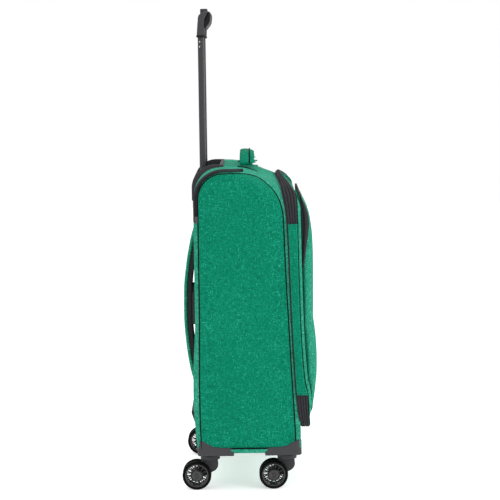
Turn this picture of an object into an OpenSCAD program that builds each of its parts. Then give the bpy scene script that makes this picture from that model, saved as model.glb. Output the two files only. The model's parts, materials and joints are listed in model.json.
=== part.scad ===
// Soft-sided cabin trolley case on four twin casters, with a two-stage pull handle and a side-hinged lid.
// X runs from the back (-) to the front (+), Y from the hinge side (-) to the handle side (+), Z up.
// The origin is on the floor under the middle of the case.

/* [Case] */
// Width of the case across its two side panels
case_w = 380; // [300:1:470]
// Depth of the case at its base, without the lid
case_d = 168; // [140:1:210]
// Height of the fabric case from its underside to its top
case_h = 464; // [380:1:600]
// Thickness of a fabric wall with its foam and board
wall = 4; // [3:0.1:5]
// Rounding of the long edges between the top and the sides
edge_r = 14; // [10:1:24]
// Rounding of the top rear corner, seen from the side
rear_top_r = 45; // [36:1:60]
// Angle that the front opening leans back from upright
front_lean = 3.1; // [0:0.1:5]
// Height of the fixed front sill above the case's underside
sill_h = 42; // [34:1:52]
// Length of the side zip below the top rear corner
side_zip_drop = 42; // [30:1:60]
// Distance of the side seams in from the case's outline
seam_in = 8; // [6:0.5:12]
// Radius of the piping cord along the side seams
piping_r = 1.2; // [0.8:0.1:1.6]

/* [Lid] */
// Depth of the lid from the case's rim to its front panel
lid_d = 15; // [12:0.5:20]
// Thickness of the lid's walls
lid_wall = 3; // [2:0.5:4]
// Gap between the case's rim and the lid, closed by the zip
lid_gap = 0.8; // [0.5:0.1:1.5]
// Distance of the hinge line outside the side face
hinge_out = 3; // [2.6:0.1:5]
// Length of the fabric hinge block
hinge_len = 280; // [200:1:320]
// Depth of the front pocket in front of the lid panel
pocket_d = 22; // [14:1:30]
// Distance of the pocket in from the lid's sides
pocket_in = 14; // [8:1:30]
// Thickness of the zip tapes with their coils
zip_t = 1.4; // [0.8:0.1:2]
// Width of one half of the main zip
zip_half_w = 6; // [4:0.5:8]

/* [Casters] */
// Radius of the wheels over their tyres
wheel_r = 23.8; // [19:0.1:29]
// Width of one wheel of a pair
wheel_w = 11; // [9:0.5:13]
// Thickness of the tyres
tyre_t = 4.2; // [3:0.1:5]
// Number of spokes in a wheel
spokes = 12; // [8:1:14]
// Radius of a wheel's solid middle
hub_cap_r = 8.5; // [7:0.1:10]
// Distance from the swivel axis back to the axle
trail = 22.5; // [16:0.5:25]
// Distance of the swivel axes in from the front and the back
caster_in_x = 20.5; // [18:0.5:25]
// Distance of the swivel axes in from the sides
caster_in_y = 45; // [36:0.5:60]
// Thickness of the fork's web between the wheels
web_t = 7; // [5:0.5:9]
// Radius of the axles
axle_r = 3; // [2:0.1:3.6]
// Radius of the swivel pins
pin_r = 4; // [3:0.1:5]
// Running clearance of a pin or an axle in its bore, on the radius
run_clear = 0.06; // [0.02:0.01:0.1]

/* [Corner guards] */
// Thickness of a guard's wall
guard_t = 3; // [2.5:0.1:3.8]
// Distance that a guard stands proud of the fabric
guard_proud = 1; // [0.5:0.1:1.5]
// Reach of a guard along the side
guard_reach_x = 58; // [48:1:64]
// Reach of a guard along the back or the front
guard_reach_y = 66; // [60:1:90]
// Height of a guard's corner above the case's underside
guard_top = 27; // [20:1:32]
// Height of the swivel housing under the case
boss_h = 9.7; // [8:0.1:14]
// Radius of the swivel housing
boss_r = 17.5; // [14:0.1:19]

/* [Pull handle] */
// Distance between the two handle tubes
tube_spread = 136; // [110:1:170]
// Front-to-back size of an inner tube
tube_d = 10; // [8:0.1:12]
// Side-to-side size of an inner tube
tube_w = 20; // [16:0.1:24]
// Wall thickness of the tubes
tube_t = 1; // [0.8:0.1:1.4]
// Gap all round between one tube and the next
tube_gap = 0.25; // [0.15:0.05:0.4]
// Travel of the inner stage out of the middle stage
inner_travel = 252; // [200:1:310]
// Travel of the middle stage out of the case
middle_travel = 245; // [190:1:270]
// Length of one stage that stays inside the next
stage_overlap = 36; // [30:1:50]
// Depth of the recess that the grip stows in
well_h = 38; // [34:1:50]
// Height of the grip over its arms
grip_h = 44; // [36:1:54]
// Radius of the lock holes under the grip
lock_hole_r = 2; // [1.5:0.1:2.4]
// Travel of the release button
button_travel = 4; // [3:0.5:5]

/* [Straps and carry handles] */
// Width of the carry handle on top
top_handle_w = 36; // [28:1:44]
// Length of the carry handle on top
top_handle_len = 200; // [160:1:240]
// Rise of the carry handle above the top
top_handle_rise = 24; // [20:1:32]
// Thickness of the padded carry handles
handle_pad = 8; // [6:0.5:10]
// Width of the carry handle on the far side
side_handle_w = 32; // [26:1:40]
// Length of the carry handle on the far side
side_handle_len = 190; // [150:1:230]
// Rise of the side handle off the side
side_handle_rise = 20; // [18:1:26]
// Width of the strap on the back
strap_w = 60; // [44:1:80]
// Distance that the back strap stands off the back
strap_rise = 23; // [18:1:24]

/* [Hidden] */
$fn = 48;

// Heights, from the floor up.
wheel_gap = 2.2;
cap_t = 6;
swivel_gap = 0.5;
cap_z = 2 * wheel_r + wheel_gap;
boss_z = cap_z + cap_t + swivel_gap;
case_z0 = boss_z + boss_h;
case_z1 = case_z0 + case_h;
sill_z = case_z0 + sill_h;

// The side view of the case: its back, its rim line and the frame of the lid.
back_x = -case_d / 2;
front_x = case_d / 2;
rim_x = front_x + 1.5;
rim_top_x = rim_x - tan(front_lean) * (case_z1 - sill_z);
lid_h = (case_z1 - sill_z) / cos(front_lean);
far = 600; // longer than anything that it cuts

// The hinge block's lower end, along the lid.
hinge_w0 = 54;

// Caster parts.
caster_x = case_d / 2 - caster_in_x;
caster_y = case_w / 2 - caster_in_y;
cap_r = 16;
disc_y = web_t / 2 + 0.5 + wheel_w / 2;
hub_r = wheel_r - tyre_t;
rim_ring_r = hub_r - 2.6;

// Tube sections, from the inside out: the hole of each is the next smaller tube and a gap.
mid_d = tube_d + 2 * (tube_gap + tube_t);
mid_w = tube_w + 2 * (tube_gap + tube_t);
out_d = mid_d + 2 * (tube_gap + tube_t);
out_w = mid_w + 2 * (tube_gap + tube_t);
tube_x = back_x + wall + 2.5 + out_d / 2;
tube_y = tube_spread / 2;

// The grip's outline about the tubes, and the recess around it.
grip_front = 21;
grip_arm_w = tube_w + 12;
grip_w = tube_spread + grip_arm_w;
arm_back = tube_d / 2 + 1.5;
well_side = 2.5;
well_floor_t = 3;
well_z = case_z1 - well_h;
well_x0 = tube_x - arm_back - 4.5;
well_x1 = tube_x + grip_front + 8;
well_w = grip_w + 5;
stow_gap = 3;
grip_z = well_z + stow_gap + inner_travel;
bezel_proud = 4;
bezel_w = well_w + 2 * well_side + 12;
bezel_r = rear_top_r - 7;
bezel_low = case_z1 - 55;
bezel_x1 = well_x1 + 5;

// Tube ends at rest.
mid_z1 = well_z + 1.5;
inner_z0 = mid_z1 - stage_overlap;
inner_z1 = grip_z + 16;
tray_z = case_z0 + wall;
tray_t = 2.5;
foot_h = 22;
foot_z = tray_z + tray_t;
out_z0 = foot_z + foot_h / 2;
out_z1 = well_z - well_floor_t;
mid_z0 = min(out_z1 - stage_overlap - middle_travel, inner_z0 - inner_travel - 5);
lining_x = tube_x + out_d / 2 + 2;
lining_t = 2;

// The strap on the back and its keeper block.
strap_t = 7;
strap_z0 = case_z0 + 71;
strap_len = case_h * 0.645;
strap_mid_z = strap_z0 + strap_len / 2;
keeper_h = 56;

// The plate under the strap that guards the back on stairs.
kick_w = 120;
kick_z = case_z0 + 24;
kick_h = 28;
kick_out = 13;

// The zip round the near panel's top rear corner, and its slider.
side_zip_w = 7.4;
side_zip_r = rear_top_r - seam_in + 7;
side_slider = [5.4, 2.4, 11];

// Corner guards and their rivets.
rivet_r = 2;
rivet_head_t = 1.5;
guard_in = guard_t - guard_proud;
guard_r = 12;
flange_t = 3.5;
flange_z = case_z0 - flange_t;

// The grip's button, the bar under it and the rods that it pushes.
rod_r = 2;
rod_gap = 0.4;
button_w = 46;
button_gap = 0.3;
button_x0 = tube_x - 1.5;
button_x1 = tube_x + 10.5;
button_top = grip_z + grip_h + 2.2;
bar_t = 4;
rod_z1 = grip_z + grip_h * 0.74;
bar_z0 = rod_z1 - button_travel - bar_t - 0.6;
bar_z1 = rod_z1 + rod_gap;
grip_split = tube_x + 5.5;
lock_hole_pitch = 8;

// Zip sliders and pullers. The main zip's two sliders meet on the far side.
slider_w = 9;
slider_l = 14;
slider_t = 3.4;
ear_t = 1.8;
eye_out = 3.2;
eye_r = 1.2;
puller_l = 34;
puller_t = 2;
puller_gap = 0.4;
slider_pitch = puller_l + slider_l + 4;
slider_z = [lid_h * 0.5 + slider_pitch / 2, lid_h * 0.5 - slider_pitch / 2];
main_y = case_w / 2 + zip_t;
main_u = lid_gap + zip_half_w / 2 + 2;

// The front pocket on the lid, its zip and its slider, in the lid's frame.
pocket_w0 = 20;
pocket_w1 = lid_h * 0.875;
pocket_y = case_w / 2 - pocket_in;
pocket_r = 24;
pocket_zip_w = 8;
pocket_zip_drop = 104;
pocket_slider_y = pocket_y + slider_w / 2 + 0.5;
pocket_slider_z = pocket_w1 - 85;

green = "seagreen";
light_green = "mediumseagreen";
black = "#26282a";
dark_grey = "#4a4c4e";

// ---- helpers -----------------------------------------------------------------------------

// Extrudes a side view, drawn in X and Z, over a width centred on y.
module across(width, y = 0) {
    translate([0, y + width / 2, 0]) rotate([90, 0, 0]) linear_extrude(width) children();
}

// Extrudes a front view, drawn in Y and Z, from x0 to x1.
module along(x0, x1) {
    translate([x0, 0, 0]) rotate([90, 0, 90]) linear_extrude(x1 - x0) children();
}

// A rectangle from its low corner to its high corner with four equal round corners.
module round_rect(low, high, r) {
    translate([low[0] + r, low[1]]) square([high[0] - low[0] - 2 * r, high[1] - low[1]]);
    translate([low[0], low[1] + r]) square([high[0] - low[0], high[1] - low[1] - 2 * r]);
    for (x = [low[0] + r, high[0] - r], y = [low[1] + r, high[1] - r]) translate([x, y]) circle(r);
}

// A box from its low corner to its high corner.
module block(low, high) {
    translate(low) cube(high - low);
}

// The side view of the case, drawn in by inset.
module side_outline(inset) {
    polygon([
        [back_x + inset, case_z0 + inset], [front_x - inset, case_z0 + inset],
        [rim_x - inset, sill_z], [rim_top_x - inset, case_z1 - inset],
        [back_x + rear_top_r, case_z1 - inset], [back_x + inset, case_z1 - rear_top_r]
    ]);
    translate([back_x + rear_top_r, case_z1 - rear_top_r]) circle(rear_top_r - inset, $fn = 96);
}

// The front view of the case, drawn in by inset.
module front_outline(inset) {
    round_rect([-case_w / 2 + inset, case_z0 + inset], [case_w / 2 - inset, case_z1 - inset],
        edge_r - inset);
}

// The case as a solid, drawn in by inset.
module case_solid(inset) {
    intersection() {
        across(case_w - 2 * inset) side_outline(inset);
        along(back_x - 10, rim_x + 20) front_outline(inset);
    }
}

// Puts its children in the lid's frame: X out of the opening, Z up along it, the origin at the sill.
module lid_frame() {
    translate([rim_x, 0, sill_z]) rotate([0, -front_lean, 0]) children();
}

// The lid's front view in its own frame, drawn in by inset.
module lid_outline(inset) {
    round_rect([-case_w / 2 + inset, inset], [case_w / 2 - inset, lid_h - inset], edge_r - inset);
}

// The side panel's seam line.
module seam_outline() {
    intersection() {
        side_outline(seam_in);
        translate([-far, 0]) square([2 * far, case_z1 - edge_r]);
    }
}

// Puts its children at one corner of the base: ix is -1 at the back, iy is -1 on the near side.
// In the corner's own frame X and Y run inwards.
module at_corner(ix, iy) {
    translate([ix * case_d / 2, iy * case_w / 2, 0])
        mirror([ix > 0 ? 1 : 0, 0, 0]) mirror([0, iy > 0 ? 1 : 0, 0]) children();
}

// ---- the fabric case ----------------------------------------------------------------------

module case_shell() {
    difference() {
        case_solid(0);
        case_solid(wall);
        lid_frame() along(-wall - 3, 6)
            round_rect([-case_w / 2 + wall, wall + 2], [case_w / 2 - wall, lid_h - wall], edge_r - wall);
    }
}

module side_panel(side) {
    color(green) difference() {
        across(wall, side * (case_w - wall) / 2) seam_outline();
        guard_rooms();
    }
}

module side_panel_near() { side_panel(-1); }
module side_panel_far() { side_panel(1); }

module back_panel_solid() {
    block([back_x, -case_w / 2 + edge_r, case_z0 + 12],
        [back_x + wall, case_w / 2 - edge_r, bezel_low - 1]);
}

module back_panel() {
    color(light_green) difference() {
        back_panel_solid();
        guard_rooms();
    }
}

module body_gusset() {
    color(light_green) difference() {
        case_shell();
        for (side = [-1, 1]) across(wall, side * (case_w - wall) / 2) seam_outline();
        back_panel_solid();
        well_room();
        guard_rooms();
        for (ix = [-1, 1], iy = [-1, 1])
            at_corner(ix, iy) rivet_places() cylinder(r = rivet_r, h = foot_z + 1);
    }
}

// Piping cords along the vertical runs of the side seams.
module side_piping() {
    color(black) for (side = [-1, 1]) {
        translate([back_x + seam_in, side * (case_w / 2 + piping_r), 0])
            cylinder_up(piping_r, case_z0 + guard_top + 8, case_z1 - rear_top_r - side_zip_drop - 2);
        lid_frame() translate([-seam_in, side * (case_w / 2 + piping_r), 4])
            cylinder(r = piping_r, h = lid_h - rear_top_r);
    }
}

// The steel hoop that holds the case's mouth in shape.
module rim_hoop() {
    color("silver") intersection() {
        difference() {
            case_solid(wall + 0.4);
            case_solid(wall + 3);
        }
        lid_frame() block([-wall - 8, -far, -far], [-wall - 4, far, far]);
    }
}

module base_tray() {
    color(black) difference() {
        block([back_x + wall + 1, -case_w / 2 + wall + edge_r, tray_z],
            [front_x - wall - 14, case_w / 2 - wall - edge_r, tray_z + tray_t]);
        for (ix = [-1, 1], iy = [-1, 1])
            at_corner(ix, iy) rivet_places() cylinder(r = rivet_r, h = foot_z + 1);
    }
}

module back_lining() {
    color("dimgray") block([lining_x, -case_w / 2 + wall + edge_r, foot_z + 2],
        [lining_x + lining_t, case_w / 2 - wall - edge_r, well_z - well_floor_t - 2]);
}

// The outer skin of the case's rim that carries one half of the zip.
module main_zip_case_half() {
    color(black) difference() {
        intersection() {
            case_solid(-zip_t);
            lid_frame() block([-zip_half_w, -case_w, 0], [-lid_gap / 2, case_w, case_h]);
        }
        case_solid(0);
        lid_frame() block([-zip_half_w - 1, -case_w / 2 - 2 * zip_t, hinge_w0],
            [1, -case_w / 2 + edge_r, hinge_w0 + hinge_len]);
    }
}

// The zip round the near panel's top rear corner and down its back edge.
module side_zip() {
    color(black) translate([back_x + rear_top_r, -case_w / 2, case_z1 - rear_top_r]) rotate([90, 0, 0])
        linear_extrude(zip_t) difference() {
            intersection() {
                union() {
                    circle(side_zip_r, $fn = 96);
                    translate([-side_zip_r, -side_zip_drop]) square([side_zip_w, side_zip_drop]);
                }
                translate([-side_zip_r, -side_zip_drop])
                    square([side_zip_r, side_zip_drop + rear_top_r - edge_r]);
            }
            circle(side_zip_r - side_zip_w, $fn = 96);
            translate([side_zip_w - side_zip_r, -side_zip_drop])
                square([side_zip_r - side_zip_w, side_zip_drop]);
        }
}

module side_zip_slider() {
    color(dark_grey) translate([
        back_x + rear_top_r - side_zip_r + 1, -case_w / 2 - zip_t - side_slider[1],
        case_z1 - rear_top_r - side_zip_drop + 2
    ]) cube(side_slider);
}

// ---- corner guards ------------------------------------------------------------------------

// The plan of a corner, at a distance off inside the fabric faces.
module corner_plan(off) {
    r = guard_r - off - guard_proud;
    translate([off, off + r]) square([far, far]);
    translate([off + r, off]) square([far, far]);
    translate([off + r, off + r]) circle(r);
}

// The outline of a guard's wall over its reach, from the corner inwards.
module guard_outline(reach, low) {
    polygon([
        [-5, low], [reach * 0.68, low], [reach * 0.78, case_z0], [reach, case_z0],
        [reach, case_z0 + guard_top * 0.3], [reach - 4, case_z0 + guard_top * 0.42],
        [reach * 0.6, case_z0 + guard_top * 0.44], [reach * 0.42, case_z0 + guard_top * 0.6],
        [reach * 0.2, case_z0 + guard_top * 0.9], [0, case_z0 + guard_top], [-5, case_z0 + guard_top]
    ]);
}

// What the guard's walls may fill: under both outlines.
module guard_limits() {
    intersection() {
        across(2 * far) guard_outline(guard_reach_x, case_z0 - 6);
        along(-far, far) guard_outline(guard_reach_y, case_z0 - 6);
    }
}

// The room that a guard's walls take out of the fabric.
module guard_room() {
    difference() {
        intersection() {
            guard_limits();
            block([-5, -5, case_z0 - 10], [far, far, case_z1]);
        }
        linear_extrude(case_z1) corner_plan(guard_in);
    }
}

module guard_rooms() {
    for (ix = [-1, 1], iy = [-1, 1]) at_corner(ix, iy) guard_room();
}

// Where the rivets of one guard stand, beside the swivel housing.
module rivet_places() {
    for (p = [[guard_reach_x - 10, caster_in_y - 24], [caster_in_x + 8, caster_in_y - boss_r - 9]])
        translate([p[0], p[1], 0]) children();
}

module guard() {
    color(dark_grey) difference() {
        union() {
            intersection() {
                guard_limits();
                linear_extrude(case_z1) difference() {
                    corner_plan(-guard_proud);
                    corner_plan(guard_in);
                }
            }
            intersection() {
                translate([0, 0, flange_z]) linear_extrude(flange_t) corner_plan(-guard_proud);
                block([-5, -5, 0], [guard_reach_x, guard_reach_y, case_z1]);
            }
            translate([caster_in_x, caster_in_y, boss_z]) cylinder(r = boss_r, h = boss_h);
        }
        translate([caster_in_x, caster_in_y, 0]) cylinder(r = pin_r + run_clear, h = case_z1);
        rivet_places() cylinder(r = rivet_r, h = foot_z + 1);
    }
}

module guard_rivets() {
    color("silver") for (ix = [-1, 1], iy = [-1, 1]) at_corner(ix, iy) rivet_places() {
        cylinder_up(rivet_r, flange_z, foot_z + 1);
        cylinder_up(2 * rivet_r, flange_z - rivet_head_t, flange_z);
    }
}

// ---- casters: at rest each pair of wheels trails towards the back --------------------------

module at_caster(ix, iy) {
    translate([ix * caster_x, iy * caster_y, 0]) children();
}

module fork(ix, iy) {
    color(black) at_caster(ix, iy) difference() {
        union() {
            translate([0, 0, cap_z]) cylinder(r = cap_r, h = cap_t);
            across(web_t) hull() {
                translate([-trail, wheel_r]) circle(7.5, $fn = 32);
                translate([0, cap_z - 9]) circle(13, $fn = 32);
                translate([-10, cap_z]) square([22, cap_t / 2]);
            }
            cylinder_up(pin_r, cap_z + cap_t, case_z0 - 0.6);
        }
        translate([-trail, 0, wheel_r]) rotate([90, 0, 0])
            cylinder(r = axle_r + run_clear, h = web_t + 2, center = true);
    }
}

// An upright cylinder between two heights.
module cylinder_up(r, z0, z1) {
    translate([0, 0, z0]) cylinder(r = r, h = z1 - z0);
}

// Puts its children on the axle's line, Z along the axle.
module at_axle(ix, iy) {
    at_caster(ix, iy) translate([-trail, 0, wheel_r]) rotate([90, 0, 0]) children();
}

module axle(ix, iy) {
    color("silver") at_axle(ix, iy) cylinder(r = axle_r, h = 2 * disc_y + wheel_w - 2, center = true);
}

module hub() {
    difference() {
        union() {
            cylinder(r = hub_r, h = wheel_w - 4, center = true);
            cylinder(r = hub_cap_r, h = wheel_w, center = true);
        }
        cylinder(r = axle_r, h = wheel_w + 2, center = true);
        for (i = [0 : spokes - 1]) rotate([0, 0, i * 360 / spokes]) linear_extrude(wheel_w, center = true)
            polygon([
                [hub_cap_r + 1.5, -0.9], [rim_ring_r, -2.7], [rim_ring_r, 2.7], [hub_cap_r + 1.5, 0.9]
            ]);
    }
}

module hubs(ix, iy) {
    color(black) at_axle(ix, iy) for (side = [-1, 1]) translate([0, 0, side * disc_y]) hub();
}

module tyre() {
    rotate_extrude($fn = 96) polygon([
        [hub_r, -wheel_w / 2 + 0.6], [wheel_r - 2, -wheel_w / 2], [wheel_r - 0.5, -wheel_w / 2 + 1.6],
        [wheel_r, -wheel_w / 2 + 3.4], [wheel_r, wheel_w / 2 - 3.4], [wheel_r - 0.5, wheel_w / 2 - 1.6],
        [wheel_r - 2, wheel_w / 2], [hub_r, wheel_w / 2 - 0.6]
    ]);
}

module tyres(ix, iy) {
    color("#151515") at_axle(ix, iy) for (side = [-1, 1]) translate([0, 0, side * disc_y]) tyre();
}

// ---- pull handle ---------------------------------------------------------------------------

// The side view of the bezel over the top rear corner.
module bezel_outline() {
    x0 = back_x - bezel_proud - 0.5;
    z1 = case_z1 + bezel_proud;
    translate([x0, bezel_low]) square([bezel_x1 - x0, z1 - bezel_r - bezel_low]);
    translate([x0 + bezel_r, bezel_low]) square([bezel_x1 - x0 - bezel_r, z1 - bezel_low]);
    translate([x0 + bezel_r, z1 - bezel_r]) circle(bezel_r, $fn = 96);
}

// The room that the recess for the grip takes out of the fabric.
module well_room() {
    block([back_x - 20, -well_w / 2 - well_side - 0.1, well_z - well_floor_t - 0.1],
        [well_x1 + well_side + 0.1, well_w / 2 + well_side + 0.1, case_z1 + 20]);
}

module handle_bezel() {
    color(black) difference() {
        union() {
            across(bezel_w) difference() {
                bezel_outline();
                side_outline(0);
            }
            intersection() {
                across(bezel_w) bezel_outline();
                block([well_x0 - well_side, -well_w / 2 - well_side, well_z - well_floor_t],
                    [well_x1 + well_side, well_w / 2 + well_side, case_z1 + 20]);
            }
        }
        block([well_x0, -well_w / 2, well_z], [well_x1, well_w / 2, case_z1 + 20]);
        for (side = [-1, 1])
            tube_hole(side, mid_d + 2 * tube_gap, mid_w + 2 * tube_gap, well_z - 10, well_z + 10);
    }
}

// A rectangular bar with round edges about one tube's axis.
module tube_hole(side, d, w, z0, z1) {
    translate([tube_x, side * tube_y, z0]) linear_extrude(z1 - z0)
        round_rect([-d / 2, -w / 2], [d / 2, w / 2], 3);
}

module tube(side, d, w, z0, z1) {
    translate([tube_x, side * tube_y, z0]) linear_extrude(z1 - z0) difference() {
        round_rect([-d / 2, -w / 2], [d / 2, w / 2], 3);
        round_rect([-d / 2 + tube_t, -w / 2 + tube_t], [d / 2 - tube_t, w / 2 - tube_t], 3 - tube_t);
    }
}

module outer_tubes() {
    color("silver") for (side = [-1, 1]) tube(side, out_d, out_w, out_z0, out_z1);
}

module middle_tubes() {
    color(dark_grey) for (side = [-1, 1]) tube(side, mid_d, mid_w, mid_z0, mid_z1);
}

module inner_tubes() {
    color(dark_grey) difference() {
        for (side = [-1, 1]) tube(side, tube_d, tube_w, inner_z0, inner_z1);
        for (n = [1, 2]) translate([tube_x - 1.2, 0, grip_z - 1.5 - n * lock_hole_pitch]) rotate([90, 0, 0])
            cylinder(r = lock_hole_r, h = tube_spread + 2 * tube_w, center = true);
    }
}

module tube_foot() {
    color(black) difference() {
        block([back_x + wall + 1, -tube_y - out_w / 2 - 6, foot_z],
            [lining_x - 0.5, tube_y + out_w / 2 + 6, foot_z + foot_h]);
        for (side = [-1, 1]) tube_hole(side, out_d, out_w, out_z0, foot_z + foot_h + 1);
    }
}

// The side view of the grip, above the foot of its arms.
module grip_outline() {
    translate([tube_x, grip_z]) polygon([
        [-arm_back, 0], [tube_d / 2 + 1.2, 0], [tube_d / 2 + 2.6, grip_h * 0.3],
        [grip_front - 6, grip_h * 0.46], [grip_front, grip_h * 0.66],
        [grip_front, grip_h * 0.88], [grip_front - 5, grip_h],
        [3, grip_h], [-2.5, grip_h * 0.9], [-arm_back + 2.5, grip_h * 0.62]
    ]);
}

// The whole grip with its tube sockets, rod channel and button pocket.
module grip_solid() {
    difference() {
        across(grip_w) grip_outline();
        block([-far, -grip_w / 2 + grip_arm_w, 0], [far, grip_w / 2 - grip_arm_w, grip_z + grip_h * 0.5]);
        for (side = [-1, 1]) {
            tube_hole(side, tube_d, tube_w, grip_z - 1, inner_z1);
            translate([tube_x, side * tube_y, 0]) cylinder_up(rod_r + rod_gap, inner_z1 - 1, rod_z1);
        }
        block([button_x0 - button_gap, -tube_y - rod_r - rod_gap, bar_z0],
            [button_x1 + button_gap, tube_y + rod_r + rod_gap, bar_z1]);
        block([button_x0 - button_gap, -button_w / 2 - button_gap, bar_z0],
            [button_x1 + button_gap, button_w / 2 + button_gap, far * 3]);
    }
}

module grip_rear_shell() {
    color(dark_grey) intersection() {
        grip_solid();
        block([-far, -far, 0], [grip_split, far, far * 3]);
    }
}

module grip_front_shell() {
    color(black) intersection() {
        grip_solid();
        block([grip_split, -far, 0], [far, far, far * 3]);
    }
}

// The button's cap and the bar under it that pushes on both rods.
module release_button() {
    color(black) {
        block([button_x0, -button_w / 2, rod_z1 - bar_t], [button_x1, button_w / 2, button_top]);
        block([button_x0, -tube_y - rod_r, rod_z1 - bar_t], [button_x1, tube_y + rod_r, rod_z1]);
    }
}

// The rods inside the inner tubes that draw the lock pins when the bar moves them down.
module push_rods() {
    color("silver") for (side = [-1, 1]) translate([tube_x, side * tube_y, 0])
        cylinder_up(rod_r, inner_z0 + 12, rod_z1 - bar_t);
}

// ---- carry handles and back strap -----------------------------------------------------------

// The view of a padded carry handle that arches off a face at height 0.
module arch(len, rise, pad) {
    difference() {
        polygon([[-len / 2, 0], [-len / 2 + rise, rise], [len / 2 - rise, rise], [len / 2, 0]]);
        polygon([
            [-len / 2 + pad * 1.4, 0], [-len / 2 + rise + pad * 0.6, rise - pad],
            [len / 2 - rise - pad * 0.6, rise - pad], [len / 2 - pad * 1.4, 0]
        ]);
    }
}

module top_handle() {
    color(green) translate([0, 0, case_z1])
        along(6 - top_handle_w / 2, 6 + top_handle_w / 2) arch(top_handle_len, top_handle_rise, handle_pad);
}

module side_handle() {
    color(green) translate([-side_handle_w / 2, case_w / 2, case_z0 + case_h * 0.52]) rotate([0, 90, 0])
        linear_extrude(side_handle_w) arch(side_handle_len, side_handle_rise, handle_pad);
}

module back_strap() {
    color(light_green) across(strap_w) translate([back_x, strap_mid_z]) rotate([0, 0, 90])
        difference() {
            polygon([
                [-strap_len / 2, 0], [-strap_len * 0.4, strap_rise * 0.5],
                [-strap_len * 0.25, strap_rise * 0.88], [-strap_len * 0.1, strap_rise],
                [strap_len * 0.1, strap_rise], [strap_len * 0.25, strap_rise * 0.9],
                [strap_len * 0.4, strap_rise * 0.6], [strap_len / 2, 0]
            ]);
            polygon([
                [-strap_len / 2 + 12, 0], [-strap_len * 0.25, strap_rise * 0.88 - strap_t],
                [-strap_len * 0.1, strap_rise - strap_t], [strap_len * 0.1, strap_rise - strap_t],
                [strap_len * 0.25, strap_rise * 0.9 - strap_t], [strap_len / 2 - 12, 0]
            ]);
        }
}

module strap_keeper() {
    color(black) block([back_x - strap_rise + strap_t, -strap_w / 2 + 4, strap_mid_z - keeper_h / 2],
        [back_x, strap_w / 2 - 4, strap_mid_z + keeper_h / 2]);
}

module kick_plate() {
    color(black) across(kick_w) polygon([
        [back_x, kick_z], [back_x - kick_out / 2, kick_z + 3], [back_x - kick_out, kick_z + kick_h - 6],
        [back_x - kick_out + 2, kick_z + kick_h - 3], [back_x, kick_z + kick_h]
    ]);
}

// ---- lid --------------------------------------------------------------------------------------

module lid_band() {
    color(black) lid_frame() along(lid_gap, lid_d - lid_wall) difference() {
        lid_outline(0);
        lid_outline(lid_wall);
    }
}

module lid_panel() {
    color(green) lid_frame() along(lid_d - lid_wall, lid_d) lid_outline(0);
}

module lid_mesh_pocket() {
    color("dimgray") lid_frame() along(lid_d - lid_wall - 4, lid_d - lid_wall - 3)
        round_rect([-case_w / 2 + lid_wall, lid_wall + 16], [case_w / 2 - lid_wall, lid_h * 0.7], 3);
}

module hinge_block() {
    color(green) lid_frame()
        block([lid_gap, -case_w / 2 - hinge_out + 1, hinge_w0], [lid_d, -case_w / 2, hinge_w0 + hinge_len]);
}

module main_zip_lid_half() {
    color(black) difference() {
        lid_frame() along(lid_gap, lid_gap + zip_half_w) difference() {
            lid_outline(-zip_t);
            lid_outline(0);
        }
        lid_frame() block([-far, -far, hinge_w0 - 1],
            [far, -case_w / 2 + edge_r, hinge_w0 + hinge_len + 1]);
    }
}

// A slider lying on a face, X across the zip, Y out of the face, with two ears and a cross pin.
module slider() {
    block([-slider_w / 2, 0, -slider_l / 2], [slider_w / 2, slider_t, slider_l / 2]);
    for (x = [-slider_w / 2, slider_w / 2 - ear_t])
        block([x, slider_t - 0.2, -2], [x + ear_t, slider_t + eye_out + 1.6, 2]);
    translate([0, slider_t + eye_out, 0]) rotate([0, 90, 0])
        cylinder(r = eye_r, h = slider_w - 0.4, center = true);
}

// A puller that hangs from a slider's cross pin.
module puller() {
    w = slider_w - 2 * ear_t - 2 * puller_gap;
    difference() {
        union() {
            translate([0, slider_t + eye_out, 0]) rotate([0, 90, 0])
                cylinder(r = eye_r + 1.3, h = w, center = true);
            block([-w / 2, slider_t + eye_out - puller_t / 2, -puller_l],
                [w / 2, slider_t + eye_out + puller_t / 2, 0]);
        }
        translate([0, slider_t + eye_out, 0]) rotate([0, 90, 0])
            cylinder(r = eye_r + run_clear, h = slider_w, center = true);
    }
}

module main_zip_sliders() {
    color(dark_grey) lid_frame() for (z = slider_z) translate([main_u, main_y, z]) slider();
}

module main_puller_upper() {
    color(black) lid_frame() translate([main_u, main_y, slider_z[0]]) puller();
}

module main_puller_lower() {
    color(black) lid_frame() translate([main_u, main_y, slider_z[1]]) puller();
}

// The front pocket as a closed cushion on the lid panel.
module front_pocket() {
    color(green) lid_frame() hull() {
        along(lid_d, lid_d + 2) round_rect([-pocket_y, pocket_w0], [pocket_y, pocket_w1], pocket_r);
        along(lid_d + pocket_d * 0.6, lid_d + pocket_d * 0.62)
            round_rect([-pocket_y + 3, pocket_w0 + 4], [pocket_y - 3, pocket_w1 - 14], pocket_r);
        along(lid_d + pocket_d - 1, lid_d + pocket_d)
            round_rect([-pocket_y + 16, pocket_w0 + 24], [pocket_y - 16, pocket_w1 - 52], pocket_r);
    }
}

// The pocket's zip runs up both sides and over the top, beside the pocket's foot.
module pocket_zip() {
    color(black) lid_frame() along(lid_d, lid_d + zip_t) difference() {
        round_rect([-pocket_y - pocket_zip_w, pocket_w0],
            [pocket_y + pocket_zip_w, pocket_w1 + pocket_zip_w], pocket_r + pocket_zip_w);
        round_rect([-pocket_y, pocket_w0], [pocket_y, pocket_w1], pocket_r);
        translate([-far, 0]) square([2 * far, pocket_w1 - pocket_zip_drop]);
    }
}

// Turns a slider so that it lies on the lid panel, facing forwards.
module on_panel() {
    lid_frame() translate([lid_d + zip_t, pocket_slider_y, pocket_slider_z]) rotate([0, 0, -90]) children();
}

module pocket_slider() {
    color(dark_grey) on_panel() slider();
}

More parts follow.
